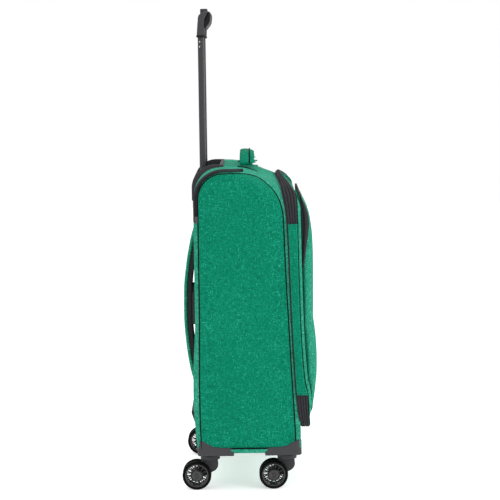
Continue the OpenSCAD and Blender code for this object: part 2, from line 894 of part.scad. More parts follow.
module pocket_puller() {
    color(black) on_panel() puller();
}

// ---- the assembly -----------------------------------------------------------------------------

back_panel();
body_gusset();
side_panel_near();
side_panel_far();
side_piping();
rim_hoop();
base_tray();
back_lining();
main_zip_case_half();
side_zip();
side_zip_slider();
handle_bezel();
outer_tubes();
tube_foot();
top_handle();
side_handle();
back_strap();
strap_keeper();
kick_plate();
at_corner(-1, -1) guard();  // guard_rear_near
at_corner(-1, 1) guard();  // guard_rear_far
at_corner(1, -1) guard();  // guard_front_near
at_corner(1, 1) guard();  // guard_front_far
guard_rivets();
lid_band();
lid_panel();
lid_mesh_pocket();
hinge_block();
main_zip_lid_half();
main_zip_sliders();
front_pocket();
pocket_zip();
pocket_slider();
main_puller_upper();
main_puller_lower();
pocket_puller();
middle_tubes();
inner_tubes();
grip_rear_shell();
grip_front_shell();
push_rods();
release_button();
fork(-1, -1);  // fork_rear_near
axle(-1, -1);  // axle_rear_near
hubs(-1, -1);  // hubs_rear_near
tyres(-1, -1);  // tyres_rear_near
fork(-1, 1);  // fork_rear_far
axle(-1, 1);  // axle_rear_far
hubs(-1, 1);  // hubs_rear_far
tyres(-1, 1);  // tyres_rear_far
fork(1, -1);  // fork_front_near
axle(1, -1);  // axle_front_near
hubs(1, -1);  // hubs_front_near
tyres(1, -1);  // tyres_front_near
fork(1, 1);  // fork_front_far
axle(1, 1);  // axle_front_far
hubs(1, 1);  // hubs_front_far
tyres(1, 1);  // tyres_front_far
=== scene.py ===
"""Visual model of a soft-sided cabin trolley case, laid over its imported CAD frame.

Sizes are in millimetres in the classes below and become metres when a mesh is made. X runs from the back of
the case (
    -
) to its front pocket (+), Y from the lid's hinge (-) to the far side (+), and Z up from the floor.
"""

import json
import logging
import math
from dataclasses import dataclass, field
from enum import Enum
from typing import Callable, Iterable, Optional, Sequence

import bmesh
import bpy
import numpy as np
from mathutils import Matrix, Vector

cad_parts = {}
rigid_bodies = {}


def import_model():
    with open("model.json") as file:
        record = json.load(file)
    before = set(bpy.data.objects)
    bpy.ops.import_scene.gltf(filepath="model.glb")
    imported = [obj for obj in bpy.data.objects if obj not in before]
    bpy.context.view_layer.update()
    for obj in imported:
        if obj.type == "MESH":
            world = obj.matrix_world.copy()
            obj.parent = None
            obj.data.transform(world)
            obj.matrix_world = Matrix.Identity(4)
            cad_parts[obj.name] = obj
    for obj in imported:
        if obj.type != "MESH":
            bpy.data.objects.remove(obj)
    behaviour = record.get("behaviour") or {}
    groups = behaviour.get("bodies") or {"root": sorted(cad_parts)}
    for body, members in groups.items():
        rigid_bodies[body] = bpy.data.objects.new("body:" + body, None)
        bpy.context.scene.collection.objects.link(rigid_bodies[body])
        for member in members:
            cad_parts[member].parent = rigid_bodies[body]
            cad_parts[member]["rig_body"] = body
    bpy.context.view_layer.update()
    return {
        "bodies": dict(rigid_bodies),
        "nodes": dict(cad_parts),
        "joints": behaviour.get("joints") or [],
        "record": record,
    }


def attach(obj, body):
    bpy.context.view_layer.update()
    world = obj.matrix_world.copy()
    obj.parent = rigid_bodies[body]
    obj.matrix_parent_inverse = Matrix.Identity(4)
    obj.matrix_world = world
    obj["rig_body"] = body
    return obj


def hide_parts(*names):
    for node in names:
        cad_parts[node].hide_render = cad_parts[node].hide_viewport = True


LOG = logging.getLogger("trolley_case")
MM = 0.001
CORNERS = (("rear_near", -1, -1), ("rear_far", -1, 1), ("front_near", 1, -1), ("front_far", 1, 1))

Point = tuple[float, float, float]
Ring = list[Point]
Mesh = tuple[Ring, list[list[int]]]


class Side(Enum):
    """The two sides of the case, as the sign of Y."""

    NEAR = -1
    FAR = 1


class Item(Enum):
    """Shapes that a row repeats."""

    STITCH = "stitch"
    TOOTH = "tooth"
    SPOKE = "spoke"


class Body(Enum):
    """The CAD bodies that most pieces ride on."""

    CASE = "case"
    LID = "lid"
    HANDLE_INNER = "handle_inner"


# ---- finishes ---------------------------------------------------------------------------------


@dataclass(frozen=True)
class Finish:
    """What every finish shares: its name and how rough it is."""

    name: str
    roughness: float

    def material(self) -> bpy.types.Material:
        """Returns this finish's material, made once."""
        found = bpy.data.materials.get(self.name)
        if found is not None:
            return found
        made = bpy.data.materials.new(self.name)
        made.use_nodes = True
        nodes = made.node_tree.nodes
        shader = nodes["Principled BSDF"]
        shader.inputs["Roughness"].default_value = self.roughness
        self.fill(Graph(made.node_tree), shader)
        return made

    def fill(self, graph: "Graph", shader: bpy.types.Node) -> None:
        """Adds the nodes that make the surface.

        Args:
            graph: The material's nodes.
            shader: Its Principled node.
        """
        raise NotImplementedError


class Graph:
    """A material's node tree, with short ways to add what the finishes use."""

    def __init__(self, tree: bpy.types.NodeTree) -> None:
        """Starts on a tree.

        Args:
            tree: The node tree to add to.
        """
        self.tree = tree
        self.place = tree.nodes.new("ShaderNodeTexCoord")

    def add(self, kind: str, **values: object) -> bpy.types.Node:
        """Adds a node and sets its properties.

        Args:
            kind: The node's type.
            values: Properties by name.

        Returns:
            The node.
        """
        node = self.tree.nodes.new(kind)
        for key, value in values.items():
            setattr(node, key, value)
        return node

    def link(self, source: bpy.types.NodeSocket, target: bpy.types.NodeSocket) -> None:
        """Joins two sockets."""
        self.tree.links.new(source, target)

    def noise(self, scale: Point, detail: float = 2.0, rough: float = 0.5) -> bpy.types.NodeSocket:
        """Adds a noise pattern in object coordinates.

        Args:
            scale: Cells in a metre along X, Y and Z.
            detail: Octaves.
            rough: Share of the finer octaves.

        Returns:
            The noise's factor.
        """
        mapping = self.add("ShaderNodeMapping")
        mapping.inputs["Scale"].default_value = scale
        self.link(self.place.outputs["Object"], mapping.inputs["Vector"])
        texture = self.add("ShaderNodeTexNoise")
        texture.inputs["Scale"].default_value = 1.0
        texture.inputs["Detail"].default_value = detail
        texture.inputs["Roughness"].default_value = rough
        self.link(mapping.outputs["Vector"], texture.inputs["Vector"])
        return texture.outputs["Fac"]

    def wave(self, scale: float, axis: str, distort: float = 0.4) -> bpy.types.NodeSocket:
        """Adds parallel bands across one object axis.

        Args:
            scale: Bands in a metre, over pi.
            axis: X, Y or Z.
            distort: How much the bands wander.

        Returns:
            The wave's factor.
        """
        texture = self.add("ShaderNodeTexWave", bands_direction=axis)
        texture.inputs["Scale"].default_value = scale
        texture.inputs["Distortion"].default_value = distort
        self.link(self.place.outputs["Object"], texture.inputs["Vector"])
        return texture.outputs["Fac"]

    def math(
        self, operation: str, a: bpy.types.NodeSocket, b: "bpy.types.NodeSocket | float"
    ) -> bpy.types.NodeSocket:
        """Adds a math node.

        Args:
            operation: The node's operation.
            a: First value.
            b: Second value, a socket or a number.

        Returns:
            The result.
        """
        node = self.add("ShaderNodeMath", operation=operation)
        self.link(a, node.inputs[0])
        if isinstance(b, (int, float)):
            node.inputs[1].default_value = b
        else:
            self.link(b, node.inputs[1])
        return node.outputs[0]

    def ramp(
        self, factor: bpy.types.NodeSocket, stops: Sequence[tuple[float, Point]]
    ) -> bpy.types.NodeSocket:
        """Adds a colour ramp.

        Args:
            factor: What drives it.
            stops: Places and linear colours, in order.

        Returns:
            The colour.
        """
        node = self.add("ShaderNodeValToRGB")
        elements = node.color_ramp.elements
        while len(elements) < len(stops):
            elements.new(0.5)
        for element, (place, colour) in zip(elements, stops):
            element.position = place
            element.color = (*colour, 1.0)
        self.link(factor, node.inputs[0])
        return node.outputs[0]

    def bump(
        self, shader: bpy.types.Node, height: bpy.types.NodeSocket, strength: float, distance: float
    ) -> None:
        """Adds a bump to a shader.

        Args:
            shader: The Principled node.
            height: The pattern.
            strength: From 0 to 1.
            distance: Height of the pattern in millimetres.
        """
        node = self.add("ShaderNodeBump")
        node.inputs["Strength"].default_value = strength
        node.inputs["Distance"].default_value = distance * MM
        self.link(height, node.inputs["Height"])
        self.link(node.outputs["Normal"], shader.inputs["Normal"])

    def rough(self, shader: bpy.types.Node, pattern: bpy.types.NodeSocket, low: float, high: float) -> None:
        """Varies a shader's roughness by a pattern.

        Args:
            shader: The Principled node.
            pattern: What drives it.
            low: Roughness where the pattern is 0.
            high: Roughness where it is 1.
        """
        node = self.add("ShaderNodeMapRange")
        node.inputs["To Min"].default_value = low
        node.inputs["To Max"].default_value = high
        self.link(pattern, node.inputs["Value"])
        self.link(node.outputs["Result"], shader.inputs["Roughness"])


@dataclass(frozen=True)
class MelangeCloth(Finish):
    """Plain-woven polyester spun from darker and lighter green fibres."""

    deep: Point = (0.0006, 0.116, 0.062)
    middle: Point = (0.0010, 0.172, 0.098)
    pale: Point = (0.030, 0.330, 0.225)
    pale_at: float = 0.70

    def fill(self, graph: Graph, shader: bpy.types.Node) -> None:
        """Mixes yarns along each axis, so that flecks show on every face of the case."""
        thin, long = 620.0, 170.0
        along_x = graph.noise((long, thin, thin), 1.0, 0.5)
        along_y = graph.noise((thin, long, thin), 1.0, 0.5)
        along_z = graph.noise((thin, thin, long), 1.0, 0.5)
        yarn = graph.math("MAXIMUM", graph.math("MAXIMUM", along_x, along_y), along_z)
        cloud = graph.noise((14.0, 14.0, 14.0), 2.0)
        mixed = graph.math("ADD", yarn, graph.math("MULTIPLY", cloud, 0.08))
        colour = graph.ramp(
            mixed, [(0.55, self.deep), (0.63, self.middle), (self.pale_at, self.middle), (0.86, self.pale)]
        )
        graph.link(colour, shader.inputs["Base Color"])
        weave = graph.math("ADD", graph.wave(420.0, "X"), graph.wave(420.0, "Z"))
        weave = graph.math("ADD", weave, graph.wave(420.0, "Y"))
        both = graph.math("ADD", weave, graph.math("MULTIPLY", yarn, 2.0))
        graph.bump(shader, both, 0.35, 0.25)
        graph.rough(shader, yarn, self.roughness - 0.08, self.roughness + 0.08)
        shader.inputs["Sheen Weight"].default_value = 0.01
        shader.inputs["Sheen Roughness"].default_value = 0.5
        shader.inputs["Specular IOR Level"].default_value = 0.05


@dataclass(frozen=True)
class RibbedTape(Finish):
    """Woven polyester tape with fine cross ribs."""

    tone: float = 0.020

    def fill(self, graph: Graph, shader: bpy.types.Node) -> None:
        """Lays fine ribs along the height and depth, with fluff in the colour."""
        ribs = graph.math("MULTIPLY", graph.wave(360.0, "Z", 0.2), graph.wave(500.0, "X", 0.2))
        fluff = graph.noise((700.0, 700.0, 700.0), 3.0, 0.6)
        mixed = graph.math("ADD", graph.math("MULTIPLY", ribs, 0.35), graph.math("MULTIPLY", fluff, 0.65))
        t = self.tone
        colour = graph.ramp(
            mixed, [(0.25, (t * 0.55, t * 0.55, t * 0.6)), (0.8, (t * 2.0, t * 2.0, t * 2.1))]
        )
        graph.link(colour, shader.inputs["Base Color"])
        graph.bump(shader, ribs, 0.5, 0.25)
        graph.rough(shader, fluff, self.roughness - 0.1, self.roughness + 0.08)
        shader.inputs["Specular IOR Level"].default_value = 0.04


@dataclass(frozen=True)
class MouldedPlastic(Finish):
    """Black moulded plastic with a fine spark texture and worn, smoother patches."""

    tone: float = 0.018
    grain: float = 1500.0
    gloss: float = 0.12

    def fill(self, graph: Graph, shader: bpy.types.Node) -> None:
        """Adds spark grain and soft wear."""
        spark = graph.noise((self.grain,) * 3, 2.0)
        wear = graph.noise((35.0, 35.0, 35.0), 4.0, 0.6)
        t = self.tone
        colour = graph.ramp(
            wear, [(0.35, (t * 0.8, t * 0.8, t * 0.84)), (0.72, (t * 1.35, t * 1.35, t * 1.4))]
        )
        graph.link(colour, shader.inputs["Base Color"])
        graph.bump(shader, spark, 0.25, 0.12)
        graph.rough(shader, wear, self.roughness - 0.07, self.roughness + 0.1)
        shader.inputs["Specular IOR Level"].default_value = self.gloss


@dataclass(frozen=True)
class DrawnMetal(Finish):
    """Drawn, anodised or plated metal with faint streaks along its length."""

    colour: Point = (0.6, 0.6, 0.61)
    metallic: float = 1.0

    def fill(self, graph: Graph, shader: bpy.types.Node) -> None:
        """Adds streaks along Z and handling marks."""
        streak = graph.noise((900.0, 900.0, 6.0), 3.0, 0.6)
        marks = graph.noise((60.0, 60.0, 60.0), 4.0, 0.6)
        r, g, b = self.colour
        colour = graph.ramp(
            streak, [(0.3, (r * 0.85, g * 0.85, b * 0.85)), (0.7, (r * 1.12, g * 1.12, b * 1.12))]
        )
        graph.link(colour, shader.inputs["Base Color"])
        shader.inputs["Metallic"].default_value = self.metallic
        graph.bump(shader, streak, 0.08, 0.05)
        graph.rough(shader, marks, self.roughness - 0.08, self.roughness + 0.12)


@dataclass(frozen=True)
class ThinCloth(Finish):
    """Thin woven lining or knitted netting."""

    tone: Point = (0.035, 0.035, 0.038)
    pitch: float = 330.0

    def fill(self, graph: Graph, shader: bpy.types.Node) -> None:
        """Adds a fine grid of threads and soft creases."""
        grid = graph.math("MAXIMUM", graph.wave(self.pitch, "Y", 0.3), graph.wave(self.pitch, "Z", 0.3))
        crease = graph.noise((22.0, 22.0, 9.0), 3.0)
        r, g, b = self.tone
        colour = graph.ramp(grid, [(0.2, (r * 0.6, g * 0.6, b * 0.6)), (0.9, (r * 1.4, g * 1.4, b * 1.4))])
        graph.link(colour, shader.inputs["Base Color"])
        graph.bump(shader, graph.math("ADD", grid, graph.math("MULTIPLY", crease, 6.0)), 0.4, 0.3)
        graph.rough(shader, crease, self.roughness - 0.1, self.roughness + 0.05)


@dataclass(frozen=True)
class StudioPaper(Finish):
    """The pale floor."""

    def fill(self, graph: Graph, shader: bpy.types.Node) -> None:
        """Gives the paper a faint grain."""
        grain = graph.noise((40.0, 40.0, 40.0), 2.0)
        colour = graph.ramp(grain, [(0.3, (0.84, 0.84, 0.84)), (0.7, (0.88, 0.88, 0.88))])
        graph.link(colour, shader.inputs["Base Color"])
        shader.inputs["Emission Color"].default_value = (1.0, 1.0, 1.0, 1.0)
        shader.inputs["Emission Strength"].default_value = 0.45


SIDE_CLOTH = MelangeCloth("side_cloth", 0.85)
# Painted light: the same melange as SIDE_CLOTH with every colour made lighter. The lighter colour stands for
# the extra light falling on the top, front and pocket faces.
GUSSET_CLOTH_PAINTED_LIGHT = MelangeCloth(
    "gusset_cloth_painted_light", 0.82, (0.006, 0.160, 0.092), (0.020, 0.250, 0.158), (0.12, 0.45, 0.34), 0.68
)
TAPE = RibbedTape("zip_tape", 0.62, 0.0035)
COIL = MouldedPlastic("zip_coil", 0.38, 0.005, 2500.0)
PIPING = RibbedTape("piping", 0.7, 0.004)
GREEN_THREAD = MelangeCloth("green_thread", 0.7, (0.02, 0.24, 0.15), (0.03, 0.30, 0.20), (0.12, 0.45, 0.33))
BLACK_PLASTIC = MouldedPlastic("black_plastic", 0.40, 0.0045, 1500.0, 0.08)
GLOSS_PLASTIC = MouldedPlastic("wheel_plastic", 0.32, 0.003, 900.0, 0.06)
SOFT_GRIP = MouldedPlastic("soft_grip", 0.5, 0.007, 2200.0, 0.1)
RUBBER = MouldedPlastic("tyre_rubber", 0.6, 0.003, 1200.0, 0.05)
BLACK_ZINC = DrawnMetal("black_zinc", 0.38, (0.06, 0.06, 0.065), 0.8)
DARK_TUBE = DrawnMetal("dark_anodised", 0.42, (0.026, 0.027, 0.031), 0.85)
RAW_TUBE = DrawnMetal("raw_aluminium", 0.34, (0.62, 0.62, 0.64))
STEEL = DrawnMetal("plated_steel", 0.26, (0.62, 0.61, 0.60))
LINING = ThinCloth("dark_lining", 0.6)
NETTING = ThinCloth("black_netting", 0.7, (0.02, 0.02, 0.022), 150.0)
PAPER = StudioPaper("studio_paper", 0.9)


# ---- mesh work --------------------------------------------------------------------------------


def hermite(table: Sequence[tuple[float, float]]) -> Callable[[float], float]:
    """Makes a smooth curve through a table that never overshoots between its points.

    Args:
        table: Pairs of place and value, places rising.

    Returns:
        The curve, which stays level beyond its ends.
    """
    xs = np.array([p[0] for p in table], float)
    ys = np.array([p[1] for p in table], float)
    steps = np.diff(ys) / np.diff(xs)
    slopes = np.zeros(len(xs))
    slopes[0], slopes[-1] = steps[0], steps[-1]
    for i in range(1, len(xs) - 1):
        if steps[i - 1] * steps[i] > 0:
            slopes[i] = 2 * steps[i - 1] * steps[i] / (steps[i - 1] + steps[i])

    def value(x: float) -> float:
        """Returns the curve's value at x."""
        if x <= xs[0]:
            return float(ys[0])
        if x >= xs[-1]:
            return float(ys[-1])
        i = int(np.searchsorted(xs, x) - 1)
        h = xs[i + 1] - xs[i]
        t = (x - xs[i]) / h
        return float(
            ys[i] * (1 + 2 * t) * (1 - t) ** 2
            + slopes[i] * h * t * (1 - t) ** 2
            + ys[i + 1] * t * t * (3 - 2 * t)
            + slopes[i + 1] * h * t * t * (t - 1)
        )

    return value


def new_piece(
    name: str,
    verts: Iterable[Point],
    faces: Iterable[Sequence[int]],
    finish: Finish,
    outward: bool = True,
) -> bpy.types.Object:
    """Makes a mesh object from millimetre points.

    Args:
        name: The piece's name.
        verts: Its points in millimetres.
        faces: Its faces.
        finish: Its finish.
        outward: Whether to merge doubles and turn the faces outwards, for a closed mesh.

    Returns:
        The object, smooth shaded.
    """
    mesh = bpy.data.meshes.new(name)
    mesh.from_pydata([(x * MM, y * MM, z * MM) for x, y, z in verts], [], [tuple(f) for f in faces])
    if outward:
        work = bmesh.new()
        work.from_mesh(mesh)
        bmesh.ops.remove_doubles(work, verts=work.verts, dist=1e-6)
        bmesh.ops.dissolve_degenerate(work, edges=work.edges, dist=1e-7)
        bmesh.ops.recalc_face_normals(work, faces=work.faces)
        work.to_mesh(mesh)
        work.free()
    mesh.validate()
    mesh.shade_smooth()
    mesh.materials.append(finish.material())
    made = bpy.data.objects.new(name, mesh)
    bpy.context.scene.collection.objects.link(made)
    return made


def loft(rings: Sequence[Ring], closed: bool = True, caps: bool = True) -> Mesh:
    """Joins rings of equal length.

    Args:
        rings: The rings, in order.
        closed: Whether each ring closes on itself.
        caps: Whether the first and last ring are filled.

    Returns:
        Points and faces.
    """
    n = len(rings[0])
    verts = [p for ring in rings for p in ring]
    last = n if closed else n - 1
    faces = []
    for i in range(len(rings) - 1):
        for j in range(last):
            k = (j + 1) % n
            faces.append([i * n + j, i * n + k, (i + 1) * n + k, (i + 1) * n + j])
    if caps:
        faces.append(list(reversed(range(n))))
        faces.append([(len(rings) - 1) * n + j for j in range(n)])
    return verts, faces


def join_parts(parts: Iterable[Mesh]) -> Mesh:
    """Puts meshes together into one.

    Args:
        parts: Points and faces of each.

    Returns:
        Points and faces.
    """
    verts: Ring = []
    faces: list[list[int]] = []
    for points, polygons in parts:
        faces += [[i + len(verts) for i in polygon] for polygon in polygons]
        verts += points
    return verts, faces


def left_of(before: tuple[float, float], after: tuple[float, float]) -> tuple[float, float]:
    """Returns the unit direction to the left of the way from one point of a plane to another."""
    length = math.hypot(after[0] - before[0], after[1] - before[1]) or 1.0
    return -(after[1] - before[1]) / length, (after[0] - before[0]) / length


def away(inner: Ring, outer: Ring) -> Ring:
    """Returns the direction from each point of a ring to the same point of a wider one."""
    return [tuple(Vector(b) - Vector(a)) for a, b in zip(inner, outer)]


def grid_faces(rows: int, columns: int) -> list[list[int]]:
    """Returns the faces of a grid whose points run row by row.

    Args:
        rows: Faces up the grid.
        columns: Faces along a row.
    """
    row = columns + 1
    return [
        [i * row + j, i * row + j + 1, (i + 1) * row + j + 1, (i + 1) * row + j]
        for i in range(rows)
        for j in range(columns)
    ]


def frames(
    path: Sequence[Point], ups: Sequence[Point], closed: bool
) -> list[tuple[Vector, Vector, Vector]]:
    """Finds the place, cross direction and up direction at each point of a path.

    Args:
        path: The points.
        ups: The surface's outward direction at each.
        closed: Whether the path closes.

    Returns:
        Triples of place, cross and up.
    """
    out = []
    n = len(path)
    for i in range(n):
        before = path[i - 1] if closed or i > 0 else path[i]
        after = path[(i + 1) % n] if closed or i < n - 1 else path[i]
        tangent = (Vector(after) - Vector(before)).normalized()
        up = Vector(ups[i]).normalized()
        cross = tangent.cross(up).normalized()
        out.append((Vector(path[i]), cross, cross.cross(tangent).normalized()))
    return out


def sweep(
    path: Sequence[Point],
    ups: Sequence[Point],
    profile: Callable[[float], Sequence[tuple[float, float]]],
    closed: bool = False,
) -> Mesh:
    """Sweeps a profile, drawn across and up, along a path.

    Args:
        path: The path's points.
        ups: The outward direction at each.
        profile: The profile at a share of the path's length.
        closed: Whether the path closes.

    Returns:
        Points and faces.
    """
    spine = frames(path, ups, closed)
    rings = []
    for i, (place, cross, up) in enumerate(spine):
        ring = [tuple(place + cross * a + up * b) for a, b in profile(i / max(1, len(spine) - 1))]
        rings.append(ring)
    if closed:
        rings.append(rings[0])
    return loft(rings, True, not closed)


def circle(radius: float, count: int = 8) -> list[tuple[float, float]]:
    """Returns a circle as a profile."""
    return [
        (radius * math.cos(2 * math.pi * i / count), radius * math.sin(2 * math.pi * i / count))
        for i in range(count)
    ]


def tape(width: float, thick: float, crown: float = 0.0) -> list[tuple[float, float]]:
    """Returns the profile of a tape that lies on a surface, with softened edges.

    Args:
        width: Its width.
        thick: Its thickness.
        crown: How much higher its middle stands.
    """
    h = width / 2
    e = min(thick * 0.45, h * 0.4)
    return [
        (-h, 0), (-h, thick - e), (-h + e, thick), (0, thick + crown), (h - e, thick), (h, thick - e),
        (h, 0)
    ]


def resample(path: Sequence[Point], step: float, closed: bool = False) -> Ring:
    """Spaces points evenly along a path.

    Args:
        path: The path's points.
        step: Their distance apart.
        closed: Whether the path closes.

    Returns:
        The new points.
    """
    points = [Vector(p) for p in path] + ([Vector(path[0])] if closed else [])
    reach = [0.0]
    for a, b in zip(points, points[1:]):
        reach.append(reach[-1] + (b - a).length)
    count = max(2, round(reach[-1] / step))
    out = []
    for i in range(count + (0 if closed else 1)):
        s = reach[-1] * i / count
        k = min(max(int(np.searchsorted(reach, s)), 1), len(points) - 1)
        t = (s - reach[k - 1]) / max(reach[k] - reach[k - 1], 1e-9)
        out.append(tuple(points[k - 1].lerp(points[k], t)))
    return out


class RowTree:
    """Geometry Nodes that repeat one small item along a line of points on a surface."""

    def __init__(self, shape: Item) -> None:
        """Builds the tree for one shape.

        Args:
            shape: What it repeats.
        """
        self.tree = bpy.data.node_groups.new(f"row_of_{shape.value}", "GeometryNodeTree")
        self.shape = shape
        self._sockets()
        self._nodes()

    def _sockets(self) -> None:
        """Adds the named inputs and the output."""
        face = self.tree.interface
        face.new_socket("Geometry", in_out="INPUT", socket_type="NodeSocketGeometry")
        face.new_socket("Spacing", in_out="INPUT", socket_type="NodeSocketFloat")
        face.new_socket("Size", in_out="INPUT", socket_type="NodeSocketVector")
        face.new_socket("Unevenness", in_out="INPUT", socket_type="NodeSocketFloat")
        face.new_socket("Seed", in_out="INPUT", socket_type="NodeSocketInt")
        face.new_socket("Material", in_out="INPUT", socket_type="NodeSocketMaterial")
        face.new_socket("Geometry", in_out="OUTPUT", socket_type="NodeSocketGeometry")

    def _item(self) -> bpy.types.NodeSocket:
        """Adds the item's own mesh, one unit across, and returns its socket."""
        nodes = self.tree.nodes
        if self.shape is Item.STITCH:
            ball = nodes.new("GeometryNodeMeshUVSphere")
            ball.inputs["Segments"].default_value = 6
            ball.inputs["Rings"].default_value = 4
            ball.inputs["Radius"].default_value = 0.5
            return ball.outputs["Mesh"]
        if self.shape is Item.TOOTH:
            bar = nodes.new("GeometryNodeMeshCylinder")
            bar.inputs["Vertices"].default_value = 6
            bar.inputs["Radius"].default_value = 0.5
            bar.inputs["Depth"].default_value = 1.0
            turn = nodes.new("GeometryNodeTransform")
            turn.inputs["Rotation"].default_value = (math.pi / 2, 0, 0)
            self.tree.links.new(bar.outputs["Mesh"], turn.inputs["Geometry"])
            return turn.outputs["Geometry"]
        block = nodes.new("GeometryNodeMeshCube")
        block.inputs["Size"].default_value = (1, 1, 1)
        return block.outputs["Mesh"]

    def _nodes(self) -> None:
        """Adds and links the nodes."""
        nodes, link = self.tree.nodes, self.tree.links.new
        given = nodes.new("NodeGroupInput")
        line = nodes.new("GeometryNodeMeshToCurve")
        link(given.outputs["Geometry"], line.inputs["Mesh"])
        spread = nodes.new("GeometryNodeResampleCurve")
        spread.mode = "LENGTH"
        link(line.outputs["Curve"], spread.inputs["Curve"])
        link(given.outputs["Spacing"], spread.inputs["Length"])
        outward = nodes.new("GeometryNodeInputNamedAttribute")
        outward.data_type = "FLOAT_VECTOR"
        outward.inputs["Name"].default_value = "outward"
        tangent = nodes.new("GeometryNodeInputTangent")
        rise = nodes.new("FunctionNodeAlignEulerToVector")
        rise.axis = "Z"
        link(outward.outputs["Attribute"], rise.inputs["Vector"])
        turn = nodes.new("FunctionNodeAlignEulerToVector")
        turn.axis, turn.pivot_axis = "X", "Z"
        link(rise.outputs["Rotation"], turn.inputs["Rotation"])
        link(tangent.outputs["Tangent"], turn.inputs["Vector"])
        chance = nodes.new("FunctionNodeRandomValue")
        chance.data_type = "FLOAT"
        link(given.outputs["Seed"], chance.inputs["Seed"])
        spare = nodes.new("ShaderNodeMath")
        spare.operation = "SUBTRACT"
        spare.inputs[0].default_value = 1.0
        link(given.outputs["Unevenness"], spare.inputs[1])
        link(spare.outputs[0], chance.inputs[2])
        chance.inputs[3].default_value = 1.0
        grow = nodes.new("ShaderNodeVectorMath")
        grow.operation = "SCALE"
        link(given.outputs["Size"], grow.inputs[0])
        link(chance.outputs[1], grow.inputs["Scale"])
        copies = nodes.new("GeometryNodeInstanceOnPoints")
        link(spread.outputs["Curve"], copies.inputs["Points"])
        link(self._item(), copies.inputs["Instance"])
        link(turn.outputs["Rotation"], copies.inputs["Rotation"])
        link(grow.outputs[0], copies.inputs["Scale"])
        real = nodes.new("GeometryNodeRealizeInstances")
        link(copies.outputs["Instances"], real.inputs["Geometry"])
        dress = nodes.new("GeometryNodeSetMaterial")
        link(real.outputs["Geometry"], dress.inputs["Geometry"])
        link(given.outputs["Material"], dress.inputs["Material"])
        result = nodes.new("NodeGroupOutput")
        link(dress.outputs["Geometry"], result.inputs["Geometry"])

    def run(
        self,
        name: str,
        lines: Sequence[tuple[Sequence[Point], Sequence[Point], bool]],
        spacing: float,
        size: Point,
        finish: Finish,
        unevenness: float = 0.0,
    ) -> bpy.types.Object:
        """Lays rows along lines and returns them as one plain mesh.

        Args:
            name: The piece's name.
            lines: Each line's points, outward directions and whether it closes.
            spacing: Distance between items.
            size: An item's size along, across and off the surface.
            finish: The items' finish.
            unevenness: Largest share by which an item is smaller.

        Returns:
            The piece.
        """
        verts: list[Point] = []
        ups: list[float] = []
        edges: list[tuple[int, int]] = []
        for points, outs, closed in lines:
            start = len(verts)
            verts += [tuple(c * MM for c in p) for p in points]
            for u in outs:
                ups += list(u)
            edges += [(start + i, start + i + 1) for i in range(len(points) - 1)]
            if closed:
                edges.append((start + len(points) - 1, start))
        mesh = bpy.data.meshes.new(name)
        mesh.from_pydata(verts, edges, [])
        attribute = mesh.attributes.new("outward", "FLOAT_VECTOR", "POINT")
        attribute.data.foreach_set("vector", ups)
        holder = bpy.data.objects.new(name, mesh)
        bpy.context.scene.collection.objects.link(holder)
        modifier = holder.modifiers.new("row", "NODES")
        modifier.node_group = self.tree
        values = {
            "Spacing": spacing * MM,
            "Size": tuple(c * MM for c in size),
            "Unevenness": unevenness,
            "Seed": 7,
            "Material": finish.material(),
        }
        for socket in self.tree.interface.items_tree:
            if socket.in_out == "INPUT" and socket.name in values:
                modifier[socket.identifier] = values[socket.name]
        depsgraph = bpy.context.evaluated_depsgraph_get()
        made = bpy.data.meshes.new_from_object(holder.evaluated_get(depsgraph), depsgraph=depsgraph)
        holder.modifiers.clear()
        holder.data = made
        made.name = name
        if not made.materials:
            made.materials.append(finish.material())
        made.shade_smooth()
        return holder


class Rows:
    """The row trees, one for each item, made when first used."""

    made: dict[Item, RowTree] = {}

    @classmethod
    def of(cls, shape: Item) -> RowTree:
        """Returns the tree for a shape."""
        if shape not in cls.made:
            cls.made[shape] = RowTree(shape)
        return cls.made[shape]


def settle(piece: bpy.types.Object, on: "Body | str", slot: str, *nodes: str) -> bpy.types.Object:
    """Rides a finished piece on its body and hides the nodes that it stands for.

    Args:
        piece: The piece.
        on: The CAD body, or the name of one that isn't in the enum.
        slot: The record's material slot; not used.
        nodes: CAD nodes that it stands for.

    Returns:
        The piece.
    """
    body = on.value if isinstance(on, Body) else on
    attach(piece, body)
    if nodes:
        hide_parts(*nodes)
    LOG.info("%s: %d faces, on %s", piece.name, len(piece.data.polygons), body)
    return piece


def thicken(piece: bpy.types.Object, thickness: float, offset: float = -1.0) -> None:
    """Adds a Solidify modifier.

    Args:
        piece: The piece.
        thickness: In millimetres.
        offset: -1 grows against the normals, 1 along them.
    """
    modifier = piece.modifiers.new("thickness", "SOLIDIFY")
    modifier.thickness = thickness * MM
    modifier.offset = offset


def soften(piece: bpy.types.Object, width: float, segments: int = 2) -> None:
    """Adds a Bevel modifier to a hard piece.

    Args:
        piece: The piece.
        width: In millimetres.
        segments: Steps round each edge.
    """
    modifier = piece.modifiers.new("edges", "BEVEL")
    modifier.width = width * MM
    modifier.segments = segments
    modifier.limit_method = "ANGLE"
    modifier.angle_limit = math.radians(40)


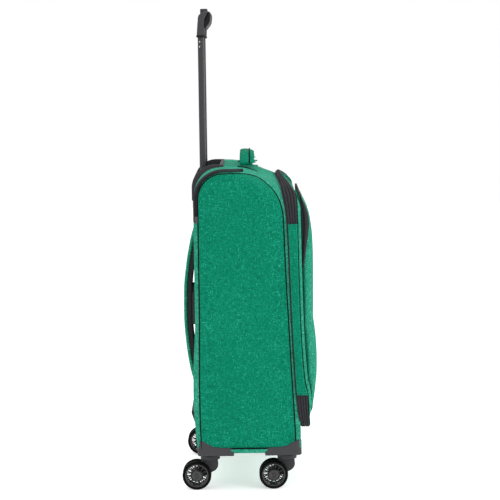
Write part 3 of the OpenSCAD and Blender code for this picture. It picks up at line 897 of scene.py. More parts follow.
def inflate(piece: bpy.types.Object, voxel: float, pressure: float, cap: float) -> None:
    """Puffs a closed piece up with a short cloth simulation and keeps the result as its mesh.

    Args:
        piece: The piece, whose mesh is replaced.
        voxel: Remesh size.
        pressure: Cloth pressure.
        cap: Furthest that a point may move.
    """
    remesh = piece.modifiers.new("even", "REMESH")
    remesh.mode, remesh.voxel_size = "VOXEL", voxel * MM
    depsgraph = bpy.context.evaluated_depsgraph_get()
    mesh = bpy.data.meshes.new_from_object(piece.evaluated_get(depsgraph), depsgraph=depsgraph)
    piece.modifiers.clear()
    finish = piece.data.materials[0]
    piece.data = mesh
    start = np.array([v.co for v in mesh.vertices], float)
    cloth = piece.modifiers.new("puff", "CLOTH")
    cloth.settings.use_pressure = True
    cloth.settings.uniform_pressure_force = pressure
    cloth.settings.tension_stiffness = 25
    cloth.settings.compression_stiffness = 25
    cloth.settings.bending_stiffness = 0.8
    cloth.settings.effector_weights.gravity = 0
    scene = bpy.context.scene
    for frame in range(1, 21):
        scene.frame_set(frame)
    depsgraph = bpy.context.evaluated_depsgraph_get()
    moved = np.array([v.co for v in piece.evaluated_get(depsgraph).data.vertices], float)
    piece.modifiers.clear()
    scene.frame_set(1)
    step = moved - start
    length = np.linalg.norm(step, axis=1, keepdims=True)
    step *= np.minimum(1.0, cap * MM / np.maximum(length, 1e-9))
    mesh.vertices.foreach_set("co", (start + step).ravel().astype(np.float32))
    mesh.update()
    mesh.materials.clear()
    mesh.materials.append(finish)
    mesh.shade_smooth()
    smooth = piece.modifiers.new("smooth", "SMOOTH")
    smooth.factor, smooth.iterations = 0.5, 4


# ---- the case's form --------------------------------------------------------------------------


@dataclass
class CaseForm:
    """The outer form that the case's pieces are laid against."""

    half_w: float = 190.0
    back: float = -84.0
    floor: float = 66.0
    top: float = 530.0
    rear_r: float = 45.0
    edge_r: float = 5.0
    depth: float = 140.0
    sill: float = 108.0
    rim: Callable[[float], float] = field(init=False)
    band: Callable[[float], float] = field(init=False)
    top_line: Callable[[float], float] = field(init=False)
    corner_line: Callable[[float], float] = field(init=False)
    crown_line: Callable[[float], float] = field(init=False)
    tuck: Callable[[float], float] = field(init=False)
    seam_tuck: Callable[[float], float] = field(init=False)

    def __post_init__(self) -> None:
        """Sets the curves of the rim, the lid's outer edge, the top and its side corners."""
        self.rim = hermite([
            (60, 84), (100, 86), (111, 86), (138, 82), (187, 78), (293, 73), (442, 68), (457, 66.5),
            (471, 64.5), (483, 62), (500, 58.5), (507, 55.5), (514, 51), (520, 46),
        ])
        self.band = hermite([
            (105, 99.5), (112, 99.5), (162, 98), (187, 92.8), (293, 86.7), (449, 84), (471, 83.7),
            (482, 83.3), (488, 82.2), (492, 80.3), (496, 77.5), (501, 73), (506, 68), (510, 63.5),
            (514, 58),
        ])
        self.top_line = hermite(
            [(0, 530), (64, 529), (84, 527), (100, 522.5), (116, 515.5), (130, 507), (140, 500)]
        )
        self.corner_line = hermite([(0, 12), (50, 14), (80, 22), (110, 38), (140, 50)])
        self.tuck = hermite([
            (60, 1.6), (80, 0.4), (100, -1.6), (130, -3.8), (163, -4.8), (200, -4.2), (240, -2.0),
            (285, 0.0), (300, 0.0),
        ])
        self.seam_tuck = hermite(
            [(75, 0.0), (90, -0.4), (104, -1.4), (163, -1.8), (240, -1.0), (300, 0.0), (310, 0.0)]
        )
        self.crown_line = hermite([(0, 1), (50, 1.5), (80, 3), (110, 7), (140, 13)])

    def half_at(self, d: float, inset: float = 0.0) -> float:
        """Returns the half width at a distance from the back, with the rounded back edge."""
        e = max(0.0, self.edge_r - d)
        return self.half_w - inset - (self.edge_r - math.sqrt(max(self.edge_r**2 - e**2, 0.0)))

    def top_at(self, d: float) -> float:
        """Returns the top's height at a distance from the back."""
        e = max(0.0, self.rear_r - d)
        return self.top_line(d) - (self.rear_r - math.sqrt(max(self.rear_r**2 - e**2, 0.0)))

    def section(
        self, d: float, low: float, inset: float = 0.0, low_r: float = 12.0
    ) -> list[tuple[float, float]]:
        """Returns the front view of the case at a distance from its back.

        It runs from the bottom's middle, up the near side, over the top and down the far side.

        Args:
            d: Distance from the back.
            low: Height of the section's bottom.
            inset: How far it is drawn in.
            low_r: Radius of its lower corners.

        Returns:
            Pairs of Y and Z.
        """
        hw, top, r = self.half_at(d, inset), self.top_at(d) - inset, max(4.0, self.corner_line(d) - inset)
        low_r = max(3.0, low_r - inset)
        half = [(-t * (hw - low_r), low) for t in (0.0, 0.25, 0.5, 0.75)]
        half += [
            (-(hw - low_r) - low_r * math.sin(a), low + low_r - low_r * math.cos(a))
            for a in (math.pi / 2 * i / 5 for i in range(6))
        ]
        z0, z1 = low + low_r, top - r
        half += [(-hw, z0 + (z1 - z0) * i / 26) for i in range(1, 26)]
        half += [
            (-(hw - r) - r * math.cos(a), z1 + r * math.sin(a))
            for a in (math.pi / 2 * i / 14 for i in range(15))
        ]
        crown = self.crown_line(d)
        half += [
            (-(hw - r) * (1 - t), top + crown * math.sin(t * math.pi / 2))
            for t in (0.1, 0.25, 0.4, 0.6, 0.8)
        ]
        middle = [(0.0, top + crown)]
        mirrored = [(-y, z) for y, z in reversed(half[1:])]
        return half + middle + mirrored

    def ring(self, d: float, low: float, inset: float = 0.0, start: Optional[float] = None) -> Ring:
        """Returns the case's ring at a nominal distance from its back, ending on the leaning rim.

        Args:
            d: Distance from the back, from 0 to the form's depth.
            low: Height of its bottom.
            inset: How far it is drawn in.
            start: Where its back stands, if not at the case's own.

        Returns:
            The ring's points.
        """
        x0 = self.back if start is None else start
        share = d / self.depth
        return [
            (x0 + self.tuck(z) * (1 - share) + share * (self.rim(z) - x0), y, z)
            for y, z in self.section(d, low, inset)
        ]

    def side_y(self, x: float, z: float) -> float:
        """Returns the half width of the case at a point of its side view."""
        d = (x - self.back) / (self.rim(z) - self.back) * self.depth
        d = min(max(d, 0.0), self.depth)
        hw, top, r = self.half_at(d), self.top_at(d), self.corner_line(d)
        rise = z - (top - r)
        if rise <= 0:
            return hw
        return hw - r + math.sqrt(max(r * r - min(rise, r) ** 2, 0.0))

    def band_ring(
        self, share: float, low: float = 109.0, out: float = 0.0, ahead: float = 0.0, swell: float = 0.0
    ) -> Ring:
        """Returns a ring of the lid's band, from the rim (share 0) to the lid's front edge (share 1).

        Args:
            share: Place between the two edges.
            low: Height of the band's bottom.
            out: Distance that the ring stands off the band.
            ahead: Distance in front of that place, less at the top and the bottom.
            swell: Distance more that it stands off at the top.

        Returns:
            The ring's points.
        """
        pts = self.section(self.depth, low, 0.0, 14.0)
        n = len(pts)
        out_ring = []
        for i, (y, z) in enumerate(pts):
            ny, nz = left_of(pts[i - 1], pts[(i + 1) % n])
            x = self.rim(z) + 0.8 + share * (self.band(z) - self.rim(z) - 0.8)
            face = min(1.0, max(0.0, (z - 118) / 26), max(0.0, (490 - z) / 20))
            off = out + swell * min(1.0, max(0.0, (z - 455) / 40))
            out_ring.append((x + (ahead * face if ahead > 0 else ahead), y + ny * off, z + nz * off))
        return out_ring


def cap_across(ring: Ring, bulge: float, columns: int = 8) -> Mesh:
    """Fills a ring that is mirrored in Y with strips across it.

    Args:
        ring: The ring, whose second half mirrors its first.
        bulge: How far the middle stands forward.
        columns: Faces across a strip.

    Returns:
        Points and faces, with the ring's own points at the strips' ends.
    """
    n = len(ring)
    half = n // 2
    verts: Ring = []
    for i in range(half + 1):
        x, y, z = ring[i]
        w = abs(y)
        for j in range(columns + 1):
            t = j / columns * 2 - 1
            verts.append((x + bulge * (1 - t * t) * min(1.0, w / 60), w * t, z))
    return verts, grid_faces(half, columns)


@dataclass
class FabricCase:
    """The fabric case: its gusset, side panels, seams, lining and side zip."""

    form: CaseForm
    wall: float = 3.4
    seam_rear: float = -76.5
    seam_low: float = 75.0
    seam_top: float = 524.0
    seam_r: float = 41.0
    piping_r: float = 1.0
    side_zip_w: float = 7.4
    side_zip_low: float = 447.0
    side_zip_end: float = -3.0
    recess_half: float = 90.0
    recess_low: float = 482.0
    recess_x: float = -41.0
    lining_x: float = -57.0

    def _stations(self) -> list[float]:
        """Returns the distances from the back at which the gusset's rings stand."""
        r = self.form.rear_r
        early = [r * (1 - math.cos(math.pi / 2 * i / 12)) for i in range(13)]
        late = [r + (self.form.depth - r) * i / 12 for i in range(1, 13)]
        return sorted(set([0.0, 0.6, 3.2] + early + late))

    def gusset(self) -> bpy.types.Object:
        """Builds the gusset and the back in one sewn shell, open at the rim and at the handle's recess."""
        f = self.form
        rings = [f.ring(d, f.floor) for d in self._stations()]
        back, back_faces = cap_across(rings[0], 0.0)
        turned = [list(reversed(face)) for face in back_faces]
        verts, faces = join_parts([loft(rings, True, False), (back, turned)])
        kept = []
        for face in faces:
            cx, cy, cz = (sum(verts[i][axis] for i in face) / len(face) for axis in range(3))
            if abs(cy) < self.recess_half and cz > self.recess_low and cx < self.recess_x:
                continue
            kept.append(face)
        piece = new_piece("gusset_and_back", verts, kept, GUSSET_CLOTH_PAINTED_LIGHT)
        work = bmesh.new()
        work.from_mesh(piece.data)
        middles = [(face, face.calc_center_median()) for face in work.faces]
        side = [face for face, at in middles if at.y < -0.185 and 0.2 < at.z < 0.4]
        if side and side[0].normal.y > 0:
            bmesh.ops.reverse_faces(work, faces=work.faces)
            work.to_mesh(piece.data)
        work.free()
        thicken(piece, self.wall)
        return settle(piece, Body.CASE, "green_fabric", "body_gusset", "back_panel")

    def sill(self) -> bpy.types.Object:
        """Builds the fixed sill under the lid as a rounded bar across the front."""
        f = self.form
        x0, x1, z0, z1 = 66.0, f.rim(100) - 0.3, f.floor + 0.3, f.sill
        ends = [1, 0.998, 0.992, 0.98, 0.965]
        ys = [-t for t in ends] + [t / 10 for t in range(-9, 10)] + ends[::-1]
        rings = []
        for t in ys:
            y = t * (f.half_w - 0.2)
            edge = max(0.0, abs(y) - (f.half_w - 10.2))
            inset = 10 - math.sqrt(max(100 - edge * edge, 0.0))
            ring = []
            for cx, cz, a0 in (
                (x1 - 5, z0 + 5, -90), (x1 - 5, z1 - 3, 0), (x0 + 2, z1 - 2, 90), (x0 + 2, z0 + 2, 180)
            ):
                r = 5 if cz == z0 + 5 else (3 if cx > x0 + 2 else 2)
                for k in range(5):
                    a = math.radians(a0 + 90 * k / 4)
                    ring.append(
                        (min(cx + r * math.cos(a), x1) - inset * (cx > x0 + 2), y, cz + r * math.sin(a))
                    )
            rings.append(ring)
        verts, faces = loft(rings)
        return settle(new_piece("front_sill", verts, faces, GUSSET_CLOTH_PAINTED_LIGHT), Body.CASE, "green_fabric")

    def lining(self) -> bpy.types.Object:
        """Builds the lining inside the case, which steps forward over the handle's recess."""
        f = self.form
        x0 = self.lining_x
        rings = []
        for d in (27.0, 32.0, 40.0, 45.0, 52.0, 80.0, 110.0, 136.0):
            pts = f.section(d, f.floor + 7, 4.4)
            ring = []
            low_roof = 484.0 if d < 49 else 600.0
            for y, z in pts:
                x = x0 + (d - 27.0) / 109.0 * (f.rim(z) - 3.0 - x0)
                ring.append((x, y, min(z, low_roof)))
            rings.append(ring)
        shell = join_parts([loft(rings, True, False), cap_across(rings[0], 0.0, 6)])
        piece = new_piece("case_lining", *shell, LINING)
        thicken(piece, 0.5, 0.0)
        return settle(piece, Body.CASE, "dark_lining", "back_lining")

    def seam_path(self) -> list[tuple[float, float]]:
        """Returns the side panel's seam in the side view, as pairs of X and Z.

        It runs from the lower rear corner up, over the top and down the front.
        """
        r, x0, z1 = self.seam_r, self.seam_rear, self.seam_top
        levels = [self.seam_low + (z1 - r - self.seam_low) * i / 24 for i in range(25)]
        path = [(x0 + self.form.seam_tuck(z), z) for z in levels]
        path += [
            (x0 + r - r * math.cos(a), z1 - r + r * math.sin(a))
            for a in (math.pi / 2 * i / 12 for i in range(1, 13))
        ]
        line = [
            (-20, 524), (-5, 523.5), (5, 522), (15, 519), (25, 514.5), (33, 508.5), (42, 500.5),
            (50, 490.5), (55.5, 480), (59, 469), (61, 457), (61.8, 442), (64.5, 360), (67.5, 293),
            (72.5, 187), (76, 122), (77, 94), (77, self.seam_low),
        ]
        start = path[-1]
        full = [(start[0], 0.0, start[1])] + [(x, 0.0, z) for x, z in line]
        return path + [(x, z) for x, _, z in resample(self._rounded(full), 9.0)[1:]]

    @staticmethod
    def _rounded(points: Ring) -> Ring:
        """Returns points smoothed by a Catmull-Rom curve."""
        out: Ring = []
        pts = [Vector(p) for p in points]
        for i in range(len(pts) - 1):
            a, b, c, d = pts[max(i - 1, 0)], pts[i], pts[i + 1], pts[min(i + 2, len(pts) - 1)]
            for k in range(6):
                t = k / 6
                bend = (2 * a - 5 * b + 4 * c - d) * t * t
                twist = (3 * b - a - 3 * c + d) * t**3
                out.append(tuple(0.5 * (2 * b + (c - a) * t + bend + twist)))
        return out + [tuple(pts[-1])]

    def side_panel(self, side: Side) -> bpy.types.Object:
        """Builds one side panel, flat with a slight pillow and its edge turned in.

        Args:
            side: Which side.

        Returns:
            The panel.
        """
        f, path = self.form, self.seam_path()
        top = max(z for _, z in path)
        levels = [self.seam_low + (470 - self.seam_low) * i / 40 for i in range(41)]
        levels += [470 + (top - 470) * math.sin(math.pi / 2 * i / 22) for i in range(1, 23)]
        peak = int(np.argmax([p[1] for p in path]))
        left, right = path[: peak + 1], path[peak:]
        lz, lx = [p[1] for p in left], [p[0] for p in left]
        rz, rx = [p[1] for p in reversed(right)], [p[0] for p in reversed(right)]
        columns = 36
        verts: Ring = []
        for z in levels:
            a, b = float(np.interp(z, lz, lx)), float(np.interp(z, rz, rx))
            for j in range(columns + 1):
                t = (1 - math.cos(math.pi * j / columns)) / 2
                x = a + (b - a) * t
                ends = min(1.0, (z - self.seam_low) / 50, (top - z) / 60 + 0.02)
                lift = 0.5 + 1.8 * min(1.0, 4 * t * (1 - t)) * ends
                verts.append((x, side.value * (f.side_y(x, z) + lift), z))
        faces = grid_faces(len(levels) - 1, columns)
        if side is Side.FAR:
            faces = [list(reversed(face)) for face in faces]
        piece = new_piece(f"side_panel_{side.name.lower()}", verts, faces, SIDE_CLOTH, outward=False)
        thicken(piece, 1.6)
        return settle(piece, Body.CASE, "green_fabric", f"side_panel_{side.name.lower()}")

    def piping(self) -> bpy.types.Object:
        """Builds the black piping round both side panels."""
        parts = []
        bottom = [(x, self.seam_low) for x in np.linspace(77, -76.5, 22)[1:-1]]
        loop = self.seam_path() + [(float(x), z) for x, z in bottom]
        for side in Side:
            path = [(x, side.value * (self.form.side_y(x, z) + 0.5), z) for x, z in loop]
            ups = [(0.0, float(side.value), 0.0)] * len(path)
            parts.append(sweep(path, ups, lambda s: circle(self.piping_r, 8), True))
        piece = new_piece("side_piping_cords", *join_parts(parts), PIPING)
        return settle(piece, Body.CASE, "black_piping", "side_piping")

    def _zip_path(self, inward: float) -> Ring:
        """Returns the side zip's middle line, a distance inside the seam.

        Args:
            inward: The distance.
        """
        r, x0, z1 = self.seam_r - inward, self.seam_rear + inward, self.seam_top
        cx, cz = self.seam_rear + self.seam_r, z1 - self.seam_r
        pts = [(x0, self.side_zip_low + (cz - self.side_zip_low) * i / 6) for i in range(6)]
        pts += [
            (cx - r * math.cos(a), cz + r * math.sin(a)) for a in (math.pi / 2 * i / 16 for i in range(17))
        ]
        pts += [(cx + (self.side_zip_end - cx) * i / 5, cz + r - 0.6 * (i / 5) ** 2) for i in range(1, 6)]
        return [(x, -(self.form.side_y(x, z) + 0.2), z) for x, z in pts]

    def side_zip(self) -> None:
        """Builds the near panel's zip: its tape and its two rows of teeth."""
        path = self._zip_path(-self.side_zip_w / 2 - 0.2)
        ups = [(0.0, -1.0, 0.35 * max(0.0, (p[2] - 512) / 18)) for p in path]
        v, f = sweep(path, ups, lambda s: tape(self.side_zip_w, 0.9, 0.2))
        settle(new_piece("side_zip_tape", v, f, TAPE), Body.CASE, "zip_tape", "side_zip")
        lines = []
        for off in (-1.1, 1.1):
            line = resample(self._zip_path(off - self.side_zip_w / 2 - 0.2), 4.0)
            line = [(x, y - 1.1, z) for x, y, z in line]
            lines.append((line, [(0.0, -1.0, 0.0)] * len(line), False))
        teeth = Rows.of(Item.TOOTH).run("side_zip_teeth", lines, 1.7, (1.1, 2.4, 1.2), COIL, 0.05)
        settle(teeth, Body.CASE, "zip_tape")

    def hoop(self) -> bpy.types.Object:
        """Builds the sprung steel hoop inside the mouth of the case."""
        f = self.form
        path = f.ring(f.depth - 5.0, f.floor, 5.6)
        middle = f.ring(f.depth - 5.0, f.floor, 9.0)
        ups = away(middle, path)
        v, faces = sweep(path, ups, lambda s: [(-2.0, -0.6), (-2.0, 0.6), (2.0, 0.6), (2.0, -0.6)], True)
        return settle(new_piece("mouth_hoop", v, faces, STEEL), Body.CASE, "steel", "rim_hoop")

    def stitches(self) -> None:
        """Lays the stitch lines beside the side seams."""
        outward = 3.2
        lines = []
        for side in Side:
            path = []
            loop = self.seam_path()
            for before, (xb, zb), after in zip(loop, loop[1:], loop[2:]):
                nx, nz = left_of(before, after)
                x, z = xb + nx * outward, zb + nz * outward
                if self.form.rim(z) - 2.0 < x or x < self.form.back + 3:
                    continue
                path.append((x, side.value * (self.form.side_y(x, z) + 0.25), z))
            lines.append((path, [(0.0, float(side.value), 0.0)] * len(path), False))
        rows = Rows.of(Item.STITCH).run(
            "side_seam_stitches", lines, 3.4, (2.3, 0.55, 0.5), GREEN_THREAD, 0.15
        )
        settle(rows, Body.CASE, "green_fabric")

    def bottom_welt(self) -> bpy.types.Object:
        """Builds the narrow welt between the casters under each side panel."""
        parts = []
        z = self.form.floor + 4.5
        for side in Side:
            path = [(x, side.value * (self.form.half_w + 0.2), z) for x in np.linspace(-29, 31, 13)]
            ups = [(0.0, float(side.value), -0.35)] * len(path)
            parts.append(sweep(path, ups, lambda s: tape(7.0, 1.0, 0.4)))
        piece = new_piece("bottom_welts", *join_parts(parts), GUSSET_CLOTH_PAINTED_LIGHT)
        return settle(piece, Body.CASE, "green_fabric")

    def build(self) -> None:
        """Builds the whole fabric case."""
        self.gusset()
        self.sill()
        self.lining()
        for side in Side:
            self.side_panel(side)
        self.piping()
        self.side_zip()
        self.hoop()
        self.stitches()
        self.bottom_welt()


@dataclass
class Lid:
    """The lid: its ribbed zip band, front panel, hinge block and lining."""

    form: CaseForm
    ribs: int = 4
    rib_h: float = 2.0
    hinge_low: float = 162.0
    hinge_high: float = 442.0
    strip: float = 5.4
    net_low: float = 128.0
    net_high: float = 400.0
    net_half: float = 178.0

    def band_piece(self) -> bpy.types.Object:
        """Builds the black band as a row of soft ribs between the rim and the lid's front edge."""
        steps = self.ribs * 7
        rings = []
        for i in range(steps + 1):
            t = i / steps
            wave = abs(math.sin(math.pi * self.ribs * t)) ** 0.6
            swell = 2.6 * math.sin(math.pi * t) ** 0.5 * (0.4 + wave)
            rings.append(self.form.band_ring(t, out=0.3 + self.rib_h * wave, swell=swell))
        verts, faces = loft(rings, True, False)
        piece = new_piece("lid_zip_band", verts, faces, TAPE)
        self._face_out(piece)
        thicken(piece, 2.2)
        return settle(piece, Body.LID, "zip_tape", "lid_band", "main_zip_lid_half")

    @staticmethod
    def _face_out(piece: bpy.types.Object) -> None:
        """Turns an open shell so that its near side faces outwards."""
        work = bmesh.new()
        work.from_mesh(piece.data)
        side = min(work.faces, key=lambda g: g.calc_center_median().y)
        if side.normal.y > 0:
            bmesh.ops.reverse_faces(work, faces=work.faces)
            work.to_mesh(piece.data)
        work.free()

    def zip_teeth(self) -> None:
        """Lays the main zip's teeth in the groove next to the rim and in the middle groove."""
        for name, share in (("main_zip_teeth", 1 / self.ribs), ("expander_welt_teeth", 3 / self.ribs)):
            ring = self.form.band_ring(share, out=0.9)
            outer = self.form.band_ring(share, out=2.0)
            ups = away(ring, outer)
            row = Rows.of(Item.TOOTH).run(name, [(ring, ups, True)], 1.9, (1.2, 3.0, 1.3), COIL, 0.05)
            settle(row, Body.LID, "zip_tape")

    def rim_tape(self) -> bpy.types.Object:
        """Builds the case's half of the zip, a narrow tape round the rim."""
        profile = ((0.1, -2.6), (0.7, -2.2), (0.8, -0.6), (0.2, 0.0), (-1.0, 0.2))
        rings = [self.form.band_ring(0.0, 109.0, out, ahead) for out, ahead in profile]
        verts, faces = loft(rings, True, False)
        piece = new_piece("rim_zip_tape", verts, faces, TAPE)
        self._face_out(piece)
        thicken(piece, 0.5)
        return settle(piece, Body.CASE, "zip_tape", "main_zip_case_half")

    def panel(self) -> bpy.types.Object:
        """Builds the lid's green front panel, which stands a little proud of the band with a rounded edge."""
        profile = (
            (-0.5, -0.5), (0.2, 0.6), (0.4, 2.0), (-0.2, 4.0), (-1.8, 5.6),
            (-4.0, self.strip), (-9.0, self.strip + 0.3),
        )
        rings = [self.form.band_ring(1.0, 109.0, out, ahead) for out, ahead in profile]
        shell = join_parts([loft(rings, True, False), cap_across(rings[-1], 1.0)])
        piece = new_piece("lid_front_panel", *shell, GUSSET_CLOTH_PAINTED_LIGHT)
        self._face_out(piece)
        thicken(piece, 2.4)
        return settle(piece, Body.LID, "green_fabric", "lid_panel")

    def edge_piping(self) -> bpy.types.Object:
        """Builds the thin black piping between the band and the front panel."""
        ring = self.form.band_ring(1.0, out=0.6, ahead=0.2)
        off = self.form.band_ring(1.0, out=2.0, ahead=0.2)
        ups = away(ring, off)
        v, f = sweep(ring, ups, lambda s: circle(0.9, 6), True)
        return settle(new_piece("lid_edge_piping", v, f, PIPING), Body.LID, "black_piping")

    def hinge(self) -> None:
        """Builds the green fabric hinge over the band on the near side, with a stitched hem at each end."""
        f = self.form
        rows = 44
        verts: Ring = []
        columns = 8
        for i in range(rows + 1):
            z = self.hinge_low + (self.hinge_high - self.hinge_low) * i / rows
            for j in range(columns + 1):
                t = j / columns
                x = f.rim(z) + 0.4 + t * (f.band(z) - f.rim(z) - 0.6)
                y = f.half_w + 2.9 + 0.9 * math.sin(math.pi * t) ** 0.7
                verts.append((x, -y, z))
        piece = new_piece("fabric_hinge", verts, grid_faces(rows, columns), SIDE_CLOTH, outward=False)
        thicken(piece, 3.0)
        settle(piece, Body.LID, "green_fabric", "hinge_block")
        lines = []
        inset = 1.5
        hems = (self.hinge_high - 2.0, self.hinge_high - 5.0, self.hinge_low + 2.0, self.hinge_low + 5.0)
        for z in hems:
            path = []
            for t in np.linspace(0, 1, 6):
                x = f.rim(z) + inset + t * (f.band(z) - f.rim(z) - 2 * inset)
                path.append((x, -(f.half_w + 3.4 + 0.7 * math.sin(math.pi * t)), z))
            lines.append((path, [(0.0, -1.0, 0.0)] * len(path), False))
        for side in (1.4, -1.6):
            path = []
            for z in np.linspace(self.hinge_low + 2, self.hinge_high - 2, 24):
                x = (f.rim(z) + 0.4 + side) if side > 0 else (f.band(z) - 0.2 + side)
                path.append((float(x), -(f.half_w + 3.6), float(z)))
            lines.append((path, [(0.0, -1.0, 0.0)] * len(path), False))
        stitches = Rows.of(Item.STITCH).run(
            "hinge_stitches", lines, 2.6, (2.0, 0.6, 0.5), GREEN_THREAD, 0.15
        )
        settle(stitches, Body.LID, "green_fabric")

    def lining(self) -> None:
        """Builds the lid's lining and the netting pocket on it."""
        rings = [
            self.form.band_ring(0.15, 112.0, -3.2), self.form.band_ring(0.8, 112.0, -3.2),
            self.form.band_ring(0.95, 112.0, -6.5)
        ]
        shell = join_parts([loft(rings, True, False), cap_across(rings[-1], 0.5)])
        piece = new_piece("lid_lining", *shell, LINING)
        thicken(piece, 0.5, 0.0)
        settle(piece, Body.LID, "dark_lining")
        columns, rows = 20, 16
        low, high, half = self.net_low, self.net_high, self.net_half
        net: Ring = []
        for i in range(rows + 1):
            z = low + (high - low) * i / rows
            for j in range(columns + 1):
                t = j / columns * 2 - 1
                x = self.form.band(z) - 8.0 - 2.4 * (1 - t * t) * math.sin(math.pi * i / rows * 0.5)
                net.append((x, half * t, z))
        cells = [[face[0], face[3], face[2], face[1]] for face in grid_faces(rows, columns)]
        pocket = new_piece("lid_netting", net, cells, NETTING, outward=False)
        settle(pocket, Body.LID, "dark_lining", "lid_mesh_pocket")

    def build(self) -> None:
        """Builds the whole lid."""
        self.band_piece()
        self.zip_teeth()
        self.rim_tape()
        self.panel()
        self.edge_piping()
        self.hinge()
        self.lining()


@dataclass
class FrontPocket:
    """The padded pocket on the lid, with its zip over the top and down both sides."""

    form: CaseForm
    half_w: float = 176.0
    low: float = 122.0
    high: float = 483.0
    zip_low: float = 360.0
    corner: float = 30.0
    profile: Callable[[float], float] = field(init=False)

    def __post_init__(self) -> None:
        """Sets the pocket's side view: how far its front stands at each height."""
        self.profile = hermite([
            (118, 98.5), (130, 101.5), (134, 103.6), (148, 108), (161, 110), (168, 109), (188, 112),
            (221, 112.7), (254, 111), (270, 109), (283, 107), (300, 107.5), (385, 108), (418, 107.2),
            (439, 105), (458, 101.5), (470, 97.5), (479, 92.5), (485, 89),
        ])

    def base(self, z: float) -> float:
        """Returns where the pocket meets the lid's panel at a height."""
        return self.form.band(z) + 5.2

    def outline(self, inset: float) -> list[tuple[float, float]]:
        """Returns the pocket's front view, a mirrored ring of pairs of Y and Z.

        Args:
            inset: How far it is drawn in.
        """
        hw, r = self.half_w - inset, max(4.0, self.corner - inset)
        z0, z1 = self.low + inset, self.high - inset
        half = [(-t * (hw - r), z0) for t in (0.0, 0.3, 0.6, 0.85)]
        half += [
            (-(hw - r) - r * math.sin(a), z0 + r - r * math.cos(a))
            for a in (math.pi / 2 * i / 6 for i in range(7))
        ]
        half += [(-hw, z0 + r + (z1 - z0 - 2 * r) * i / 24) for i in range(1, 24)]
        half += [
            (-(hw - r) - r * math.cos(a), z1 - r + r * math.sin(a))
            for a in (math.pi / 2 * i / 8 for i in range(9))
        ]
        half += [(-(hw - r) * (1 - t), z1) for t in (0.25, 0.5, 0.75)]
        return half + [(0.0, z1)] + [(-y, z) for y, z in reversed(half[1:])]

    def ring(self, inset: float, share: float, out: float = 0.0) -> Ring:
        """Returns a ring of the pocket.

        Args:
            inset: How far it is drawn in from the outline.
            share: 0 at the lid's panel and 1 at the pocket's front.
            out: Distance that it stands off forwards.
        """
        ring = []
        for y, z in self.outline(inset):
            base = self.base(z)
            ring.append((base + share * (max(self.profile(z), base + 1) - base) + out, y, z))
        return ring

    def cushion(self) -> bpy.types.Object:
        """Builds the padded pocket, puffed up by simulation."""
        steps = (
            (0.5, 0.02), (0.0, 0.2), (0.2, 0.45), (1.4, 0.66),
            (3.6, 0.82), (7.0, 0.92), (12.0, 0.98), (18.0, 1.0),
        )
        rings = [self.ring(i + 0.8, s * 0.97) for i, s in steps]
        back, back_faces = cap_across(rings[0], 0.0, 14)
        turned = [list(reversed(face)) for face in back_faces]
        shell = join_parts([loft(rings, True, False), (back, turned), cap_across(rings[-1], 2.0, 14)])
        piece = new_piece("front_pocket_cushion", *shell, GUSSET_CLOTH_PAINTED_LIGHT)
        inflate(piece, 5.0, 4.0, 2.5)
        settle(piece, Body.LID, "green_fabric", "front_pocket")
        return piece

    def zip(self) -> None:
        """Builds the pocket's zip: a black tape that widens from its lower ends, and its teeth."""
        outline = self.outline(0.0)
        half = len(outline) // 2
        near = [p for p in outline[: half + 1] if p[1] >= self.zip_low]
        path = near + [(-y, z) for y, z in reversed(near[:-1])]
        widths, rings = [], []
        total = len(path)
        for i, (y, z) in enumerate(path):
            reach = min(i, total - 1 - i) / 6.0
            grow = min(1.0, reach) ** 0.75
            depth = max(self.profile(z) - self.base(z), 3.0)
            width = grow * min(depth * 0.92, 13.5) + 0.6
            ny, nz = left_of(path[max(i - 1, 0)], path[min(i + 1, total - 1)])
            x0 = self.base(z) + 0.3
            ring = []
            for t, lift in (
                (0.0, -1.2), (0.0, 1.6), (0.25, 2.3), (0.5, 2.5), (0.75, 2.1), (1.0, 0.8), (1.0, -1.5)
            ):
                ring.append((x0 + t * width, y + ny * lift, z + nz * lift))
            rings.append(ring)
            widths.append(width)
        verts, faces = loft(rings)
        settle(new_piece("pocket_zip_tape", verts, faces, TAPE), Body.LID, "zip_tape", "pocket_zip")
        line, ups = [], []
        for i, (y, z) in enumerate(path):
            ny, nz = left_of(path[max(i - 1, 0)], path[min(i + 1, total - 1)])
            line.append((self.base(z) + 0.3 + widths[i] * 0.45, y + ny * 2.6, z + nz * 2.6))
            ups.append((0.0, ny, nz))
        teeth = Rows.of(Item.TOOTH).run(
            "pocket_zip_teeth", [(line, ups, False)], 1.8, (1.2, 3.0, 1.2), COIL, 0.05
        )
        settle(teeth, Body.LID, "zip_tape")

    def seam(self) -> None:
        """Lays the seam's stitches round the pocket's front edge."""
        ring = self.ring(10.0, 0.985, 1.4)
        line = (ring, [(1.0, 0.0, 0.0)] * len(ring), True)
        rows = Rows.of(Item.STITCH).run("pocket_stitches", [line], 3.4, (2.3, 0.6, 0.6), GREEN_THREAD, 0.15)
        settle(rows, Body.LID, "green_fabric")

    def build(self) -> None:
        """Builds the whole pocket."""
        self.cushion()
        self.zip()
        self.seam()


